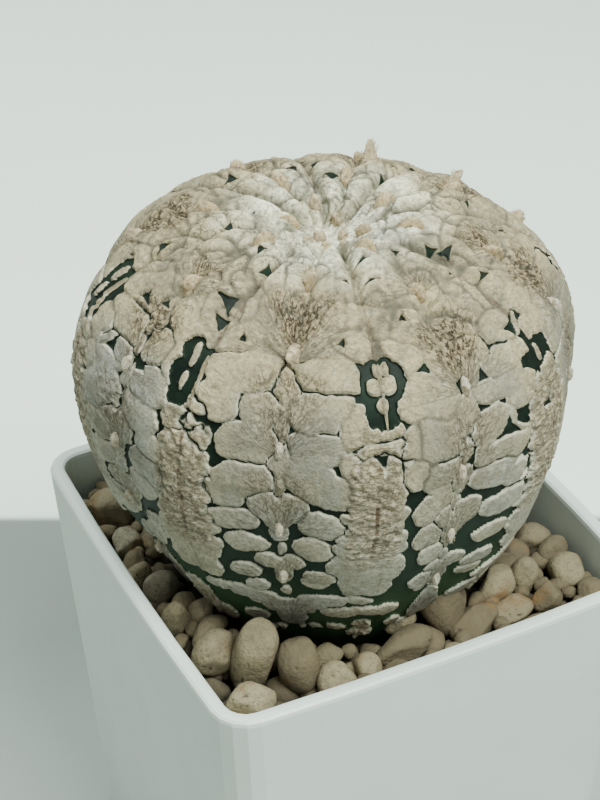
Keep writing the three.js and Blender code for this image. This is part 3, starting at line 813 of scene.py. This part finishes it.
def mesh_piece(name, points, faces, values, normals=None):
    """A Blender object from points in millimetres, with values stored on its points."""
    mesh = bpy.data.meshes.new(name)
    sides = faces.shape[1]
    mesh.vertices.add(len(points))
    mesh.vertices.foreach_set("co", (np.asarray(points) * MM).astype(np.float32).ravel())
    mesh.loops.add(faces.size)
    mesh.loops.foreach_set("vertex_index", faces.astype(np.int32).ravel())
    mesh.polygons.add(len(faces))
    mesh.polygons.foreach_set("loop_start", np.arange(0, faces.size, sides, dtype=np.int32))
    mesh.polygons.foreach_set("use_smooth", np.full(len(faces), True))
    mesh.update(calc_edges=True)
    for key, value in values.items():
        store = mesh.attributes.new(key, "FLOAT", "POINT")
        store.data.foreach_set("value", np.asarray(value, np.float32).ravel())
    if normals is not None:
        mesh.normals_split_custom_set_from_vertices(normals.reshape(-1, 3).tolist())
    made = bpy.data.objects.new(name, mesh)
    bpy.context.scene.collection.objects.link(made)
    return made


NORMALS = grid_normals(SKIN)
tone_of_plate = np.random.default_rng(3).uniform(-1, 1, len(PLATES))
SKIN_VALUES = {
    "inside": np.clip(own, -1.0, 2.0),
    "plate_tone": tone_of_plate[OWNER],
    # Where seams and folds sink into the relief; the skin material paints shade there.
    "painted_crease_shade": np.clip(CREASE + 0.8 * fold + 0.7 * FURROW_FOLD, 0, 1),
    "beard": BEARD,
    "ridge": RIDGE,
    "crust": np.clip(CRUST + 0.8 * SCAR, 0, 1),
    # Painted fill light: lower plates on the flank between turns 3 and 4.5, which lie in shade, are
    # painted lighter and cooler.
    "painted_fill_light_side": zone(TURN, 2.9, 3.4, 4.2, 4.5) * smooth(36, 46, S),
    "furrow": FURROW_LINE,
    "beside_furrow": from_furrow,
    "fan_angle": FAN,
    "fan_reach": REACH,
    "down_skin": S,
    "across_rib": U,
    "matted": MATTED * (1 - BEARD) * matting,
}
rib_pieces = []
for rib in range(RIBS):
    columns = np.arange(rib * COLUMNS, (rib + 1) * COLUMNS + 1) % (RIBS * COLUMNS)
    faces = grid_quads(len(rows), COLUMNS + 1)
    values = {key: value[:, columns] for key, value in SKIN_VALUES.items()}
    piece = mesh_piece(
        f"cactus_rib_{rib + 1}", SKIN[:, columns].reshape(-1, 3), faces, values, NORMALS[:, columns])
    rib_pieces.append(piece)
print(len(rib_pieces), "ribs of", len(faces) * 2, "triangles")

# %% [markdown]
# The skin's colours follow the plates. Plates are felt: warm grey-beige, whiter on the
# crown, creamier near the furrows and greyer near the areole lines, with a pale rim.
# The skin between them is a very dark, slightly glossy green. One material does it all,
# led by the values stored on the mesh, with fine noise on top at the scale of felt.

# %% Material of the skin
skin_paint, tree, shader = material("flecked_skin", 0.9)
inside = attribute("inside")
plate = remap(inside, -0.05, 0.07)
down_skin, across_rib = attribute("down_skin"), attribute("across_rib")
beside_furrow = attribute("beside_furrow")
fan_angle, fan_reach = attribute("fan_angle"), attribute("fan_reach")
fuzz = grain(2400, 4, 0.62)

whiteness = calc("SUBTRACT", 1.0, remap(down_skin, 9, 23))
greyness = times(remap(down_skin, 33, 42), remap(across_rib, 0.88, 0.42))
felt = layers(
    blend(whiteness, (0.50, 0.415, 0.235), (0.95, 0.93, 0.69)),
    (greyness, (0.262, 0.258, 0.215)),
    (remap(down_skin, 46, 64, 0, 0.85), (0.44, 0.435, 0.375)),
    # Painted fill light on the shaded flank: a lighter, cooler grey.
    (times(attribute("painted_fill_light_side"), 0.65), (0.47, 0.49, 0.455)),
    (remap(attribute("plate_tone"), -1, 1, 0, 0.45), (0.45, 0.375, 0.225)),
    (speckle(150, 0.44, 0.66, 0.6), (0.25, 0.232, 0.17)),
    (times(whiteness, speckle(240, 0.47, 0.6, 0.45)), (0.27, 0.27, 0.21)),
    # Partly whiter felt and partly a painted highlight: pale puffs on the crown.
    (times(whiteness, speckle(130, 0.48, 0.6, 0.75)), (0.98, 0.96, 0.80)),
    (speckle(330, 0.52, 0.70, 0.45), (0.60, 0.545, 0.39)),
    (speckle(620, 0.52, 0.70, 0.4), (0.25, 0.215, 0.15)),
    (speckle(1300, 0.46, 0.66, 0.55), (0.21, 0.185, 0.13)),
    (remap(fuzz, 0.45, 0.72, 0, 0.65), (0.16, 0.14, 0.105)),
)

# %% Streaks, crust and hair
past_crown = remap(down_skin, 16, 26)
streak = grain(1.0, 4, 0.65, stretched((fan_angle, 24.0), (fan_reach, 0.45), (down_skin, 0.03)))
streaked = times(remap(streak, 0.46, 0.64, 0, 0.7), remap(fan_reach, 11, 5))
cracks = times(remap(off_middle(230, 3, 0.6), 0.022, 0.0), speckle(110, 0.48, 0.56, 0.75))
from_line = off_middle(1.0, 4, 0.6, stretched((fan_angle, 9.0), (fan_reach, 0.5), (down_skin, 0.05)))
hair_line = remap(from_line, 0.05, 0.0)
combed = times(hair_line, remap(fan_reach, 10, 3, 0, 0.6))
crust = attribute("crust")
fold_place = stretched((beside_furrow, 0.55), (down_skin, 1.5), (across_rib, 2.0))
from_fold = off_middle(1.0, 4, 0.65, fold_place)
fold_line = times(remap(from_fold, 0.05, 0.0, 0, 0.7), crust)
beard = attribute("beard")
beard_line = times(hair_line, beard)
felt = layers(
    felt,
    (times(streaked, past_crown), (0.17, 0.15, 0.115)),
    (times(cracks, remap(down_skin, 36, 28)), (0.075, 0.068, 0.05)),
    (times(combed, past_crown), (0.115, 0.10, 0.08)),
    (times(crust, 0.5), (0.43, 0.37, 0.255)),
    (fold_line, (0.13, 0.105, 0.07)),
    (times(crust, speckle(700, 0.56, 0.68, 0.7)), (0.66, 0.61, 0.47)),
    (times(crust, speckle(1300, 0.48, 0.64, 0.55)), (0.17, 0.13, 0.085)),
    (times(beard, 0.65), (0.31, 0.245, 0.15)),
    (times(times(beard, attribute("ridge")), 0.6), (0.10, 0.073, 0.048)),
    (times(beard_line, 0.9), (0.04, 0.028, 0.02)),
    (times(attribute("matted"), 0.5), (0.20, 0.165, 0.11)),
)

# %% Rust, pale rims and painted shade in the seams
above = times(remap(down_skin, 26, 29), remap(down_skin, 33, 31))
under = times(remap(down_skin, 43, 47), remap(down_skin, 66, 58))
by_furrow = remap(beside_furrow, 0.42, 0.12)
rust = times(times(by_furrow, speckle(600, 0.49, 0.56)), calc("ADD", above, under))
felt = layers(
    felt,
    (times(rust, 0.85), (0.06, 0.022, 0.014)),
    (times(remap(inside, 0.32, 0.1, 0, 0.7), remap(down_skin, 28, 42)), (0.62, 0.595, 0.47)),
    # Painted shade: seams, crown folds and furrow folds are darkened in the colour.
    (times(attribute("painted_crease_shade"), 0.9), (0.10, 0.092, 0.07)),
    (times(attribute("furrow"), 0.5), (0.20, 0.15, 0.10)),
)
green = layers(
    blend(speckle(260, 0.35, 0.7), (0.004, 0.0085, 0.006), (0.009, 0.020, 0.012)),
    # Painted bounce light: the green is painted lighter towards the foot, which the plant's own overhang
    # shades.
    (remap(down_skin, 50, 68, 0, 0.7), (0.018, 0.033, 0.022)),
    (remap(down_skin, 70, 84, 0, 0.9), (0.036, 0.08, 0.037)),
    (speckle(1500, 0.62, 0.72, 0.3), (0.04, 0.055, 0.04)),
)
strands = calc("SUBTRACT", times(streak, 0.7), times(combed, 0.8))
strands = calc("SUBTRACT", strands, calc("ADD", fold_line, beard_line))
feed(shader, {"Specular IOR Level": 0.12, "Roughness": remap(plate, 0.2, 0.8, 0.55, 0.95)})
connect(shader, blend(plate, green, felt), times(calc("ADD", fuzz, strands), plate), 0.8, 0.0003)
for piece in rib_pieces:
    piece.data.materials.append(skin_paint)
    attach(piece, "root")
    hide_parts("cactus")
print("skin material has", len(tree.nodes), "nodes")

# %% [markdown]
# Each areole carries a tuft of wool: tall tan ones on the crown, where they are young,
# and small pale drops lower down. A few more crowd the crown's centre, and two tall ones
# stand on its far edge. A tuft is a lump with fine furrows along it, and a few dozen
# single hairs that break its outline. Hairs are real tapered slivers, because a hair
# system would be lost when the model is handed on.

# %% Sphere to start lumps from
def ball(divisions):
    """Points and triangles of an evenly divided ball of radius 1."""
    shape = bmesh.new()
    bmesh.ops.create_icosphere(shape, subdivisions=divisions, radius=1)
    points = np.array([v.co[:] for v in shape.verts])
    faces = np.array([[v.index for v in face.verts] for face in shape.faces])
    shape.free()
    return points, faces


def join(parts):
    """Several meshes as one: points, faces, and a value for each point."""
    points, faces, values, count = [], [], [], 0
    for some_points, some_faces, some_values in parts:
        points.append(some_points)
        faces.append(some_faces + count)
        values.append(some_values)
        count += len(some_points)
    return np.concatenate(points), np.concatenate(faces), np.concatenate(values)


# %% Wool
def skin_frame(turn, s):
    """A place on the skin with its sideways, downwards and outward directions."""
    rib = np.array([math.floor(turn + 0.5)])
    side_u = (turn - rib) * 2
    lift = 0.25 + side_lean(turn, s)
    spot = skin_point(rib, side_u, np.array([s]), np.array([lift]))[0]
    down = skin_point(rib, side_u, np.array([s + 0.5]), np.array([lift]))[0] - spot
    down /= np.linalg.norm(down)
    azimuth = math.atan2(spot[1] - PLANT_Y, spot[0] - PLANT_X)
    across = np.array([-math.sin(azimuth), math.cos(azimuth), 0])
    out = np.cross(across, down)
    out *= np.sign(out @ np.array([math.cos(azimuth), math.sin(azimuth), 0.6]))
    return spot, across, down, out


LUMP = ball(4)
SUNK = 0.25
HAIRS = 52
HAIR_RINGS = ((0, 0.055), (0.5, 0.04), (1, 0.008))
THIRDS = (0, 2.094, 4.189)
pairs = [(ring + k, ring + (k + 1) % 3) for ring in (0, 3) for k in range(3)]
HAIR_SIDES = np.array([(i, j, j + 3) for i, j in pairs] + [(i, j + 3, i + 3) for i, j in pairs])


def tuft(turn, s, wide, tall, high, rng):
    """One tuft of wool: a furrowed lump and its loose hairs."""
    spot, across, down, out = skin_frame(turn, s)
    p = LUMP[0].copy()
    pointed = np.clip(p[:, 2], 0, 1)
    taper = 1 - 0.22 * pointed
    drop = 1 - 0.2 * np.clip(p[:, 1], 0, 1)
    spin = np.arctan2(p[:, 1], p[:, 0])
    ridges = field(np.stack([np.cos(spin) * 5, np.sin(spin) * 5, p[:, 2] * 1.5 + s], axis=-1), 1.0, 61)
    rough = 1 + 0.09 * ridges + 0.14 * field(p + turn, 0.7, 62) + 0.05 * field(p + s, 0.25, 63)
    size = np.stack([wide * taper * drop, tall * taper, np.full(len(p), high)], axis=-1)
    local = p * size * rough[:, None]
    lean = rng.normal(0, 0.16, 2)
    local[:, 0] += lean[0] * high * pointed**2
    local[:, 1] += (lean[1] + 0.15) * high * pointed**2
    local[:, 2] -= SUNK * high
    parts = [(spot + local @ np.stack([across, down, out]), LUMP[1], 0.35 + 0.65 * pointed)]
    for _ in range(HAIRS):
        a, lift = rng.uniform(0, 2 * math.pi), rng.uniform(0.05, 1) ** 0.8
        ground = math.sqrt(1 - lift * lift)
        start = np.array([math.cos(a) * ground, math.sin(a) * ground, lift])
        length = high * rng.uniform(0.16, 0.36)
        root = start * np.array([wide, tall, high]) * 0.9 - np.array([0, 0, SUNK * high])
        toward = start * 0.8 + np.array([lean[0], lean[1] + 0.25, 0.5]) + rng.normal(0, 0.35, 3)
        toward /= np.linalg.norm(toward)
        side = np.cross(toward, [0.3, 0.9, 0.2])
        side /= np.linalg.norm(side)
        other = np.cross(toward, side)
        bend = rng.normal(0, 0.16, 2)
        rings = []
        for step, thick in HAIR_RINGS:
            curl = (side * bend[0] + other * bend[1]) * length * step * step
            middle = root + toward * length * step + curl
            rings += [middle + thick * (side * math.cos(q) + other * math.sin(q)) for q in THIRDS]
        hair = spot + np.array(rings) @ np.stack([across, down, out])
        parts.append((hair, HAIR_SIDES, np.full(9, lift)))
    return join(parts)


# %% Tufts at the areoles
CROWN_TUFT, FOOT_TUFT = (1.3, 2.0, 2.1), (0.68, 1.5, 1.0)
EXTRA_TUFTS = [
    (0.97, 4.6, 0.9, 1.0, 2.4), (2.7, 2.0, 1.1, 1.1, 1.0), (0.0, 2.4, 0.9, 0.9, 0.9),
    (1.7, 7.6, 0.9, 1.5, 1.2), (4.9, 2.6, 0.9, 0.9, 0.9), (6.1, 3.4, 0.8, 1.0, 1.0),
    (7.1, 5.6, 0.8, 1.3, 1.1), (3.9, 4.4, 0.8, 1.1, 1.0), (0.87, 23.6, 1.15, 1.3, 3.8),
    (0.05, 24.6, 1.2, 1.4, 3.6), (7.72, 33.8, 1.1, 1.4, 1.6),
]
rng = np.random.default_rng(17)
tufts, tuft_age = [], []
for rib in range(RIBS):
    for s in AREOLES[rib]:
        lower = float(smooth(27, 40, s))
        size = [a + (b - a) * lower for a, b in zip(CROWN_TUFT, FOOT_TUFT)]
        grow = rng.uniform(0.82, 1.12)
        turn = rib + LINE_SHIFT * float(smooth(38, 44, s))
        tufts.append(tuft(turn, s, *(grow * part for part in size), rng))
        tuft_age.append(np.full(len(tufts[-1][0]), lower))
for place_and_size in EXTRA_TUFTS:
    tufts.append(tuft(*place_and_size, rng))
    tuft_age.append(np.full(len(tufts[-1][0]), 0.25))
points, faces, tips = join(tufts)
wool = mesh_piece("wool_tufts", points, faces, {"tip": tips, "age": np.concatenate(tuft_age)})
print(len(tufts), "tufts with", len(faces), "triangles")

# %% Material of the wool
wool_paint, tree, shader = material("wool", 0.95)
feed(shader, {"Specular IOR Level": 0.15, "Sheen Weight": 0.15, "Sheen Roughness": 0.6})
tip = attribute("tip")
young = blend(tip, (0.33, 0.235, 0.115), (0.56, 0.43, 0.235))
old = blend(tip, (0.40, 0.35, 0.25), (0.68, 0.62, 0.48))
shade = layers(
    blend(attribute("age"), young, old),
    (speckle(1100, 0.42, 0.62, 0.7), (0.24, 0.17, 0.09)),
    (speckle(1900, 0.5, 0.66, 0.6), (0.62, 0.55, 0.39)),
)
connect(shader, shade, grain(5200, 3, 0.6), 0.9, 0.0003)
wool.data.materials.append(wool_paint)
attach(wool, "root")
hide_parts("cactus")

# %% [markdown]
# The top dressing is washed river grit: beige stones, worn round but with flat sides
# left. A stone is a ball cut by nine soft planes, which gives flats that meet in
# rounded edges. The stones lie about where they lie in the solid model: those in front
# were placed one by one, and the rest are dropped by the same seeded rule. Where placed
# stones already fill a corner, the dropped ones are left out.

# %% Places of the pebbles
RIM_HALF, WALL_TAPER, LIP_WIDTH, WALL_AT_FLOOR = 37.5, 0.058, 2.46, 1.7
STONE_SHAPE = ((1, 1.3), (0.8, 1), (0.7, 0.95))
FRONT_PEBBLES = [
    (-24.4, -19.2, -6.2, 3.5, 3.2, 8.2, 20, 12), (-19.2, -24.6, -5, 3.3, 3, 4.9, 60, -10),
    (-29.6, -16, -5.5, 3.6, 3, 3.8, 20, 15), (-29, -27.5, -6, 3.8, 3, 2.4, 10, 0),
    (-27.4, -5.8, -5.5, 2.0, 1.8, 3.2, 30, 15), (-28.4, -11, -6, 3.4, 2, 2.4, 40, 0),
    (-31.5, -5.6, -6, 2.4, 2, 4.4, 0, 20), (-28.8, -2.4, -7, 2, 2, 3, 50, 10),
    (-30, 3.9, -7, 2.8, 2.4, 2.8, 0, 0), (-32.4, 8, -7.5, 2.4, 2, 3, 20, 0),
    (-29.2, 26.1, -7, 4.6, 4, 3.8, 30, 0), (-30.6, 17, -7.5, 3, 2.6, 2.7, 80, 0),
    (-31.5, 11.8, -7.5, 2.6, 1.7, 1.9, 60, 0), (-13.5, -23, -7, 2.4, 1.9, 2, 0, 0),
    (-15, -29, -6.5, 3.1, 2.8, 3, 40, 0), (-0.6, -22.4, -4.9, 2.8, 2.2, 2.3, 10, 10),
    (-2.2, -27.2, -6, 4.8, 2.7, 2.6, 12, 0), (7.6, -22.8, -5.0, 4.7, 3.8, 5.0, 35, -10),
    (11.0, -26.5, -7.2, 4.6, 3.3, 3.0, 15, 0), (18.6, -20.6, -6.5, 3.7, 2.7, 2.8, 30, 0),
    (23.4, -21.6, -6, 2.3, 2.2, 3.1, 0, 0), (31.3, -17.6, -6.5, 3, 2, 2.1, 25, 10),
    (30.5, -23.2, -6.5, 3.1, 2.9, 3, 0, 0), (23.9, -27.5, -6.5, 2.5, 2.2, 3.2, 30, 10),
    (17.6, -27, -7, 3.8, 2.6, 2.2, 15, 0), (-9.6, -28.6, -7, 2.2, 2.4, 2.8, 0, 0),
    (30.8, -29.5, -7, 3, 2.4, 2.6, 50, 0),
]


def inner_half(z):
    """Half the pot's inner width at a height."""
    return RIM_HALF - WALL_TAPER * (RIM - z) - (WALL_AT_FLOOR + (LIP_WIDTH - WALL_AT_FLOOR) * z / RIM)


def plant_radius(z):
    """Radius of the plant at a height from the rim, without ribs."""
    found = 0.0
    for (r0, z0), (r1, z1) in zip(PROFILE, PROFILE[1:]):
        if z1 <= z <= z0:
            found = max(found, r0 + (r1 - r0) * (z - z0) / (z1 - z0))
    return found


def scatter(placed, seed, tries, level, sizes, spacing):
    """Adds stones where the pot and the stones already placed leave room."""
    draw = draws(seed)
    for _ in range(tries):
        x, y = [(next(draw) * 2 - 1) * RIM_HALF for _ in range(2)]
        z = level[0] + (level[1] - level[0]) * next(draw)
        size = sizes[0] + (sizes[1] - sizes[0]) * next(draw)
        shape = [size * (low + (high - low) * next(draw)) for low, high in STONE_SHAPE]
        turn = next(draw) * 180
        wall = inner_half(RIM + z) - size - 0.4
        from_plant = math.hypot(x - PLANT_X, y - PLANT_Y) - plant_radius(z + size) - size * 0.9
        clear = all(
            math.hypot(x - p[0], y - p[1]) > (size + (p[3] + p[4]) / 2) * spacing for p in placed)
        if clear and from_plant > 0 and max(abs(x), abs(y)) < wall:
            placed.append((x, y, z, *shape, turn, 0))
    return placed


def off_corner(stones, x, y):
    """The stones without those in the front left corner, which is full already."""
    return [p for p in stones if not (p[0] < x and p[1] < y)]


FRONT = len(FRONT_PEBBLES)
upper_stones = scatter(list(FRONT_PEBBLES), 7, 2600, (-8.4, -6.8), (2.4, 3.8), 0.76)
upper_stones = FRONT_PEBBLES + off_corner(upper_stones[FRONT:], -12, -14)
lower_stones = scatter([], 23, 7000, (-10.6, -9.6), (1.7, 2.7), 0.78)
small_stones = scatter(list(upper_stones), 29, 2500, (-7.6, -6.6), (1.1, 1.8), 0.74)
small_stones = off_corner(small_stones[len(upper_stones):], -16, -18)
print(len(upper_stones), "stones on top,", len(small_stones), "small and", len(lower_stones), "below")


# %% Shapes of the pebbles
CUTS, EDGE_POWER = 9, 17
FIRST_ROUND, FIRST_SMALL = 100, 400


def pebble(row, number, base):
    """One worn stone as points, faces and its tone. The tone carries painted light: lighter on the left,
    darker on the right, and darker for the small and low stones.
    """
    x, y, z, along, across, up, turn, tip = row
    rng = np.random.default_rng(1000 + number)
    cuts = rng.normal(0, 1, (CUTS, 3))
    cuts /= np.linalg.norm(cuts, axis=1)[:, None]
    depth = rng.uniform(0.68, 0.98, CUTS)
    p = base[0]
    facing = np.clip(p @ cuts.T, 0, None) / depth
    reach = (1 + (facing**EDGE_POWER).sum(axis=1)) ** (-1 / EDGE_POWER)
    reach = reach * (1.12 + 0.06 * field(p + number, 0.7, 71) + 0.012 * field(p + number, 0.2, 72))
    pits = smooth(0.62, 0.8, field(p + number * 3, 0.15, 73))
    pits = pits * smooth(0.0, 0.4, field(p + number, 0.8, 74))
    local = p * (reach - 0.07 * pits)[:, None] * np.array([along, across, up])
    a, b = math.radians(tip), math.radians(turn)
    tipped = local @ np.array([[1, 0, 0], [0, math.cos(a), math.sin(a)], [0, -math.sin(a), math.cos(a)]])
    laid = tipped @ np.array([[math.cos(b), math.sin(b), 0], [-math.sin(b), math.cos(b), 0], [0, 0, 1]])
    # Painted light by side: stones on the left are painted lighter, as bounce light from the pot wall,
    # and those on the right darker.
    tone = rng.uniform(0, 0.95) + 0.25 * smooth(-14, -28, x) - 0.3 * smooth(-10, 4, x)
    # Painted shade: the small and low stones, which fill the gaps, get a darker tone.
    tone -= 0.6 * (number >= FIRST_SMALL)
    return laid + np.array([x, y, RIM + z]), base[1], np.stack([np.full(len(p), tone), pits], axis=-1)


fine_ball, plain_ball, rough_ball = ball(5), ball(4), ball(3)
stones = []
for name, group, first, base in (
    ("pebbles_front", upper_stones[:FRONT], 0, fine_ball),
    ("pebbles_round", upper_stones[FRONT:], FIRST_ROUND, plain_ball),
    ("pebbles_small", small_stones + lower_stones, FIRST_SMALL, rough_ball),
):
    points, faces, look = join([pebble(row, first + i, base) for i, row in enumerate(group)])
    stones.append(mesh_piece(name, points, faces, {"tone": look[:, 0], "pit": look[:, 1]}))

# %% Material of the pebbles
stone_paint, tree, shader = material("river_grit", 0.9)
feed(shader, {"Specular IOR Level": 0.3})
tone = attribute("tone")
stain = times(speckle(130, 0.57, 0.70), speckle(600, 0.36, 0.56))
height = node("ShaderNodeSeparateXYZ", {"Vector": place()}).outputs["Z"]
# Painted shade by depth: the lower a stone's surface lies in the pot, the darker it is painted, down to
# nearly black at the grit bed.
painted_depth_shade = remap(height, (RIM - 6.0) * MM, (RIM - 10.5) * MM, 0, 0.92)
body = layers(
    blend(remap(tone, 0.0, 0.9), (0.125, 0.10, 0.06), (0.31, 0.265, 0.165)),
    (remap(tone, 1.05, 1.1), (0.33, 0.305, 0.22)),
    (speckle(260, 0.40, 0.66, 0.45), (0.18, 0.15, 0.092)),
    (speckle(900, 0.5, 0.66, 0.45), (0.15, 0.12, 0.085)),
    (speckle(2600, 0.55, 0.66, 0.6), (0.12, 0.095, 0.065)),
    (times(stain, 0.75), (0.20, 0.115, 0.045)),
    (times(attribute("pit"), 0.8), (0.05, 0.038, 0.025)),
    (painted_depth_shade, (0.03, 0.024, 0.016)),
)
grit = calc("ADD", grain(1500, 5, 0.7), times(grain(500, 3, 0.6), 1.2))
connect(shader, body, grit, 0.6, 0.0005)

# %% Bed under the pebbles
BED, BED_TOP, BED_FOOT = 60, RIM - 12.0, RIM - 17.5
edge = inner_half(BED_TOP) - 0.5
x, y = np.meshgrid(*[np.linspace(-edge, edge, BED)] * 2)
flat = np.stack([x, y, np.zeros_like(x)], axis=-1)
bed_height = BED_TOP + 0.7 * field(flat, 2.8, 81) + 0.4 * field(flat, 1.3, 82)
top = np.stack([x, y, bed_height], axis=-1)
count = np.arange(BED * BED).reshape(BED, BED)
border = np.r_[count[0], count[1:, -1], count[-1, -2::-1], count[-2:0:-1, 0]]
skirt = top.reshape(-1, 3)[border] * np.array([1, 1, 0]) + np.array([0, 0, BED_FOOT])
bed_points = np.concatenate([top.reshape(-1, 3), skirt])
nexts = np.roll(np.arange(len(border)), -1)
sides = np.stack([border, border[nexts], BED * BED + nexts, BED * BED + np.arange(len(border))], axis=-1)
bed_faces = np.concatenate([grid_quads(BED, BED), sides])[:, ::-1]
bed_look = {"tone": np.full(len(bed_points), 0.2), "pit": np.zeros(len(bed_points))}
bed = mesh_piece("grit_bed", bed_points, bed_faces, bed_look)
for piece in stones + [bed]:
    piece.data.materials.append(stone_paint)
    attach(piece, "root")
    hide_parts("gravel")
print("pebbles", sum(len(piece.data.polygons) for piece in stones), "triangles")

# %% [markdown]
# The pot is injection moulded in white plastic: satin, a little greenish in this light,
# with the faint waviness of a thin wall that cooled unevenly. Its form in the solid model
# is already right, lip and corners included, so it only gets a material. The soil below
# the stones is hidden, but it is there, so it is finished too.

# %% Materials of the pot and the soil
pot_paint, tree, shader = material("white_plastic", 0.42)
shade = layers(
    blend(speckle(60, 0.35, 0.7), (0.66, 0.72, 0.68), (0.69, 0.745, 0.705)),
    (speckle(420, 0.62, 0.74, 0.15), (0.50, 0.53, 0.49)),
)
waves = calc("ADD", grain(45, 2, 0.4), times(grain(2200, 2), 0.03))
feed(shader, {"Specular IOR Level": 0.4, "Roughness": remap(grain(180, 3), 0.3, 0.7, 0.36, 0.5)})
connect(shader, shade, waves, 0.25, 0.0006)

soil_paint, tree, shader = material("peat_and_grit", 0.95)
soil = layers(
    blend(speckle(500, 0.4, 0.6), (0.035, 0.024, 0.016), (0.09, 0.06, 0.038)),
    (speckle(1300, 0.6, 0.68, 0.8), (0.30, 0.27, 0.21)),
)
connect(shader, soil, grain(900, 5, 0.7), 0.9, 0.001)
for carried in bpy.data.objects:
    if carried.type == "MESH" and carried.name.startswith(("pot", "growing_mix")):
        carried.data.materials.clear()
        carried.data.materials.append(pot_paint if carried.name.startswith("pot") else soil_paint)
        print("finished", carried.name)
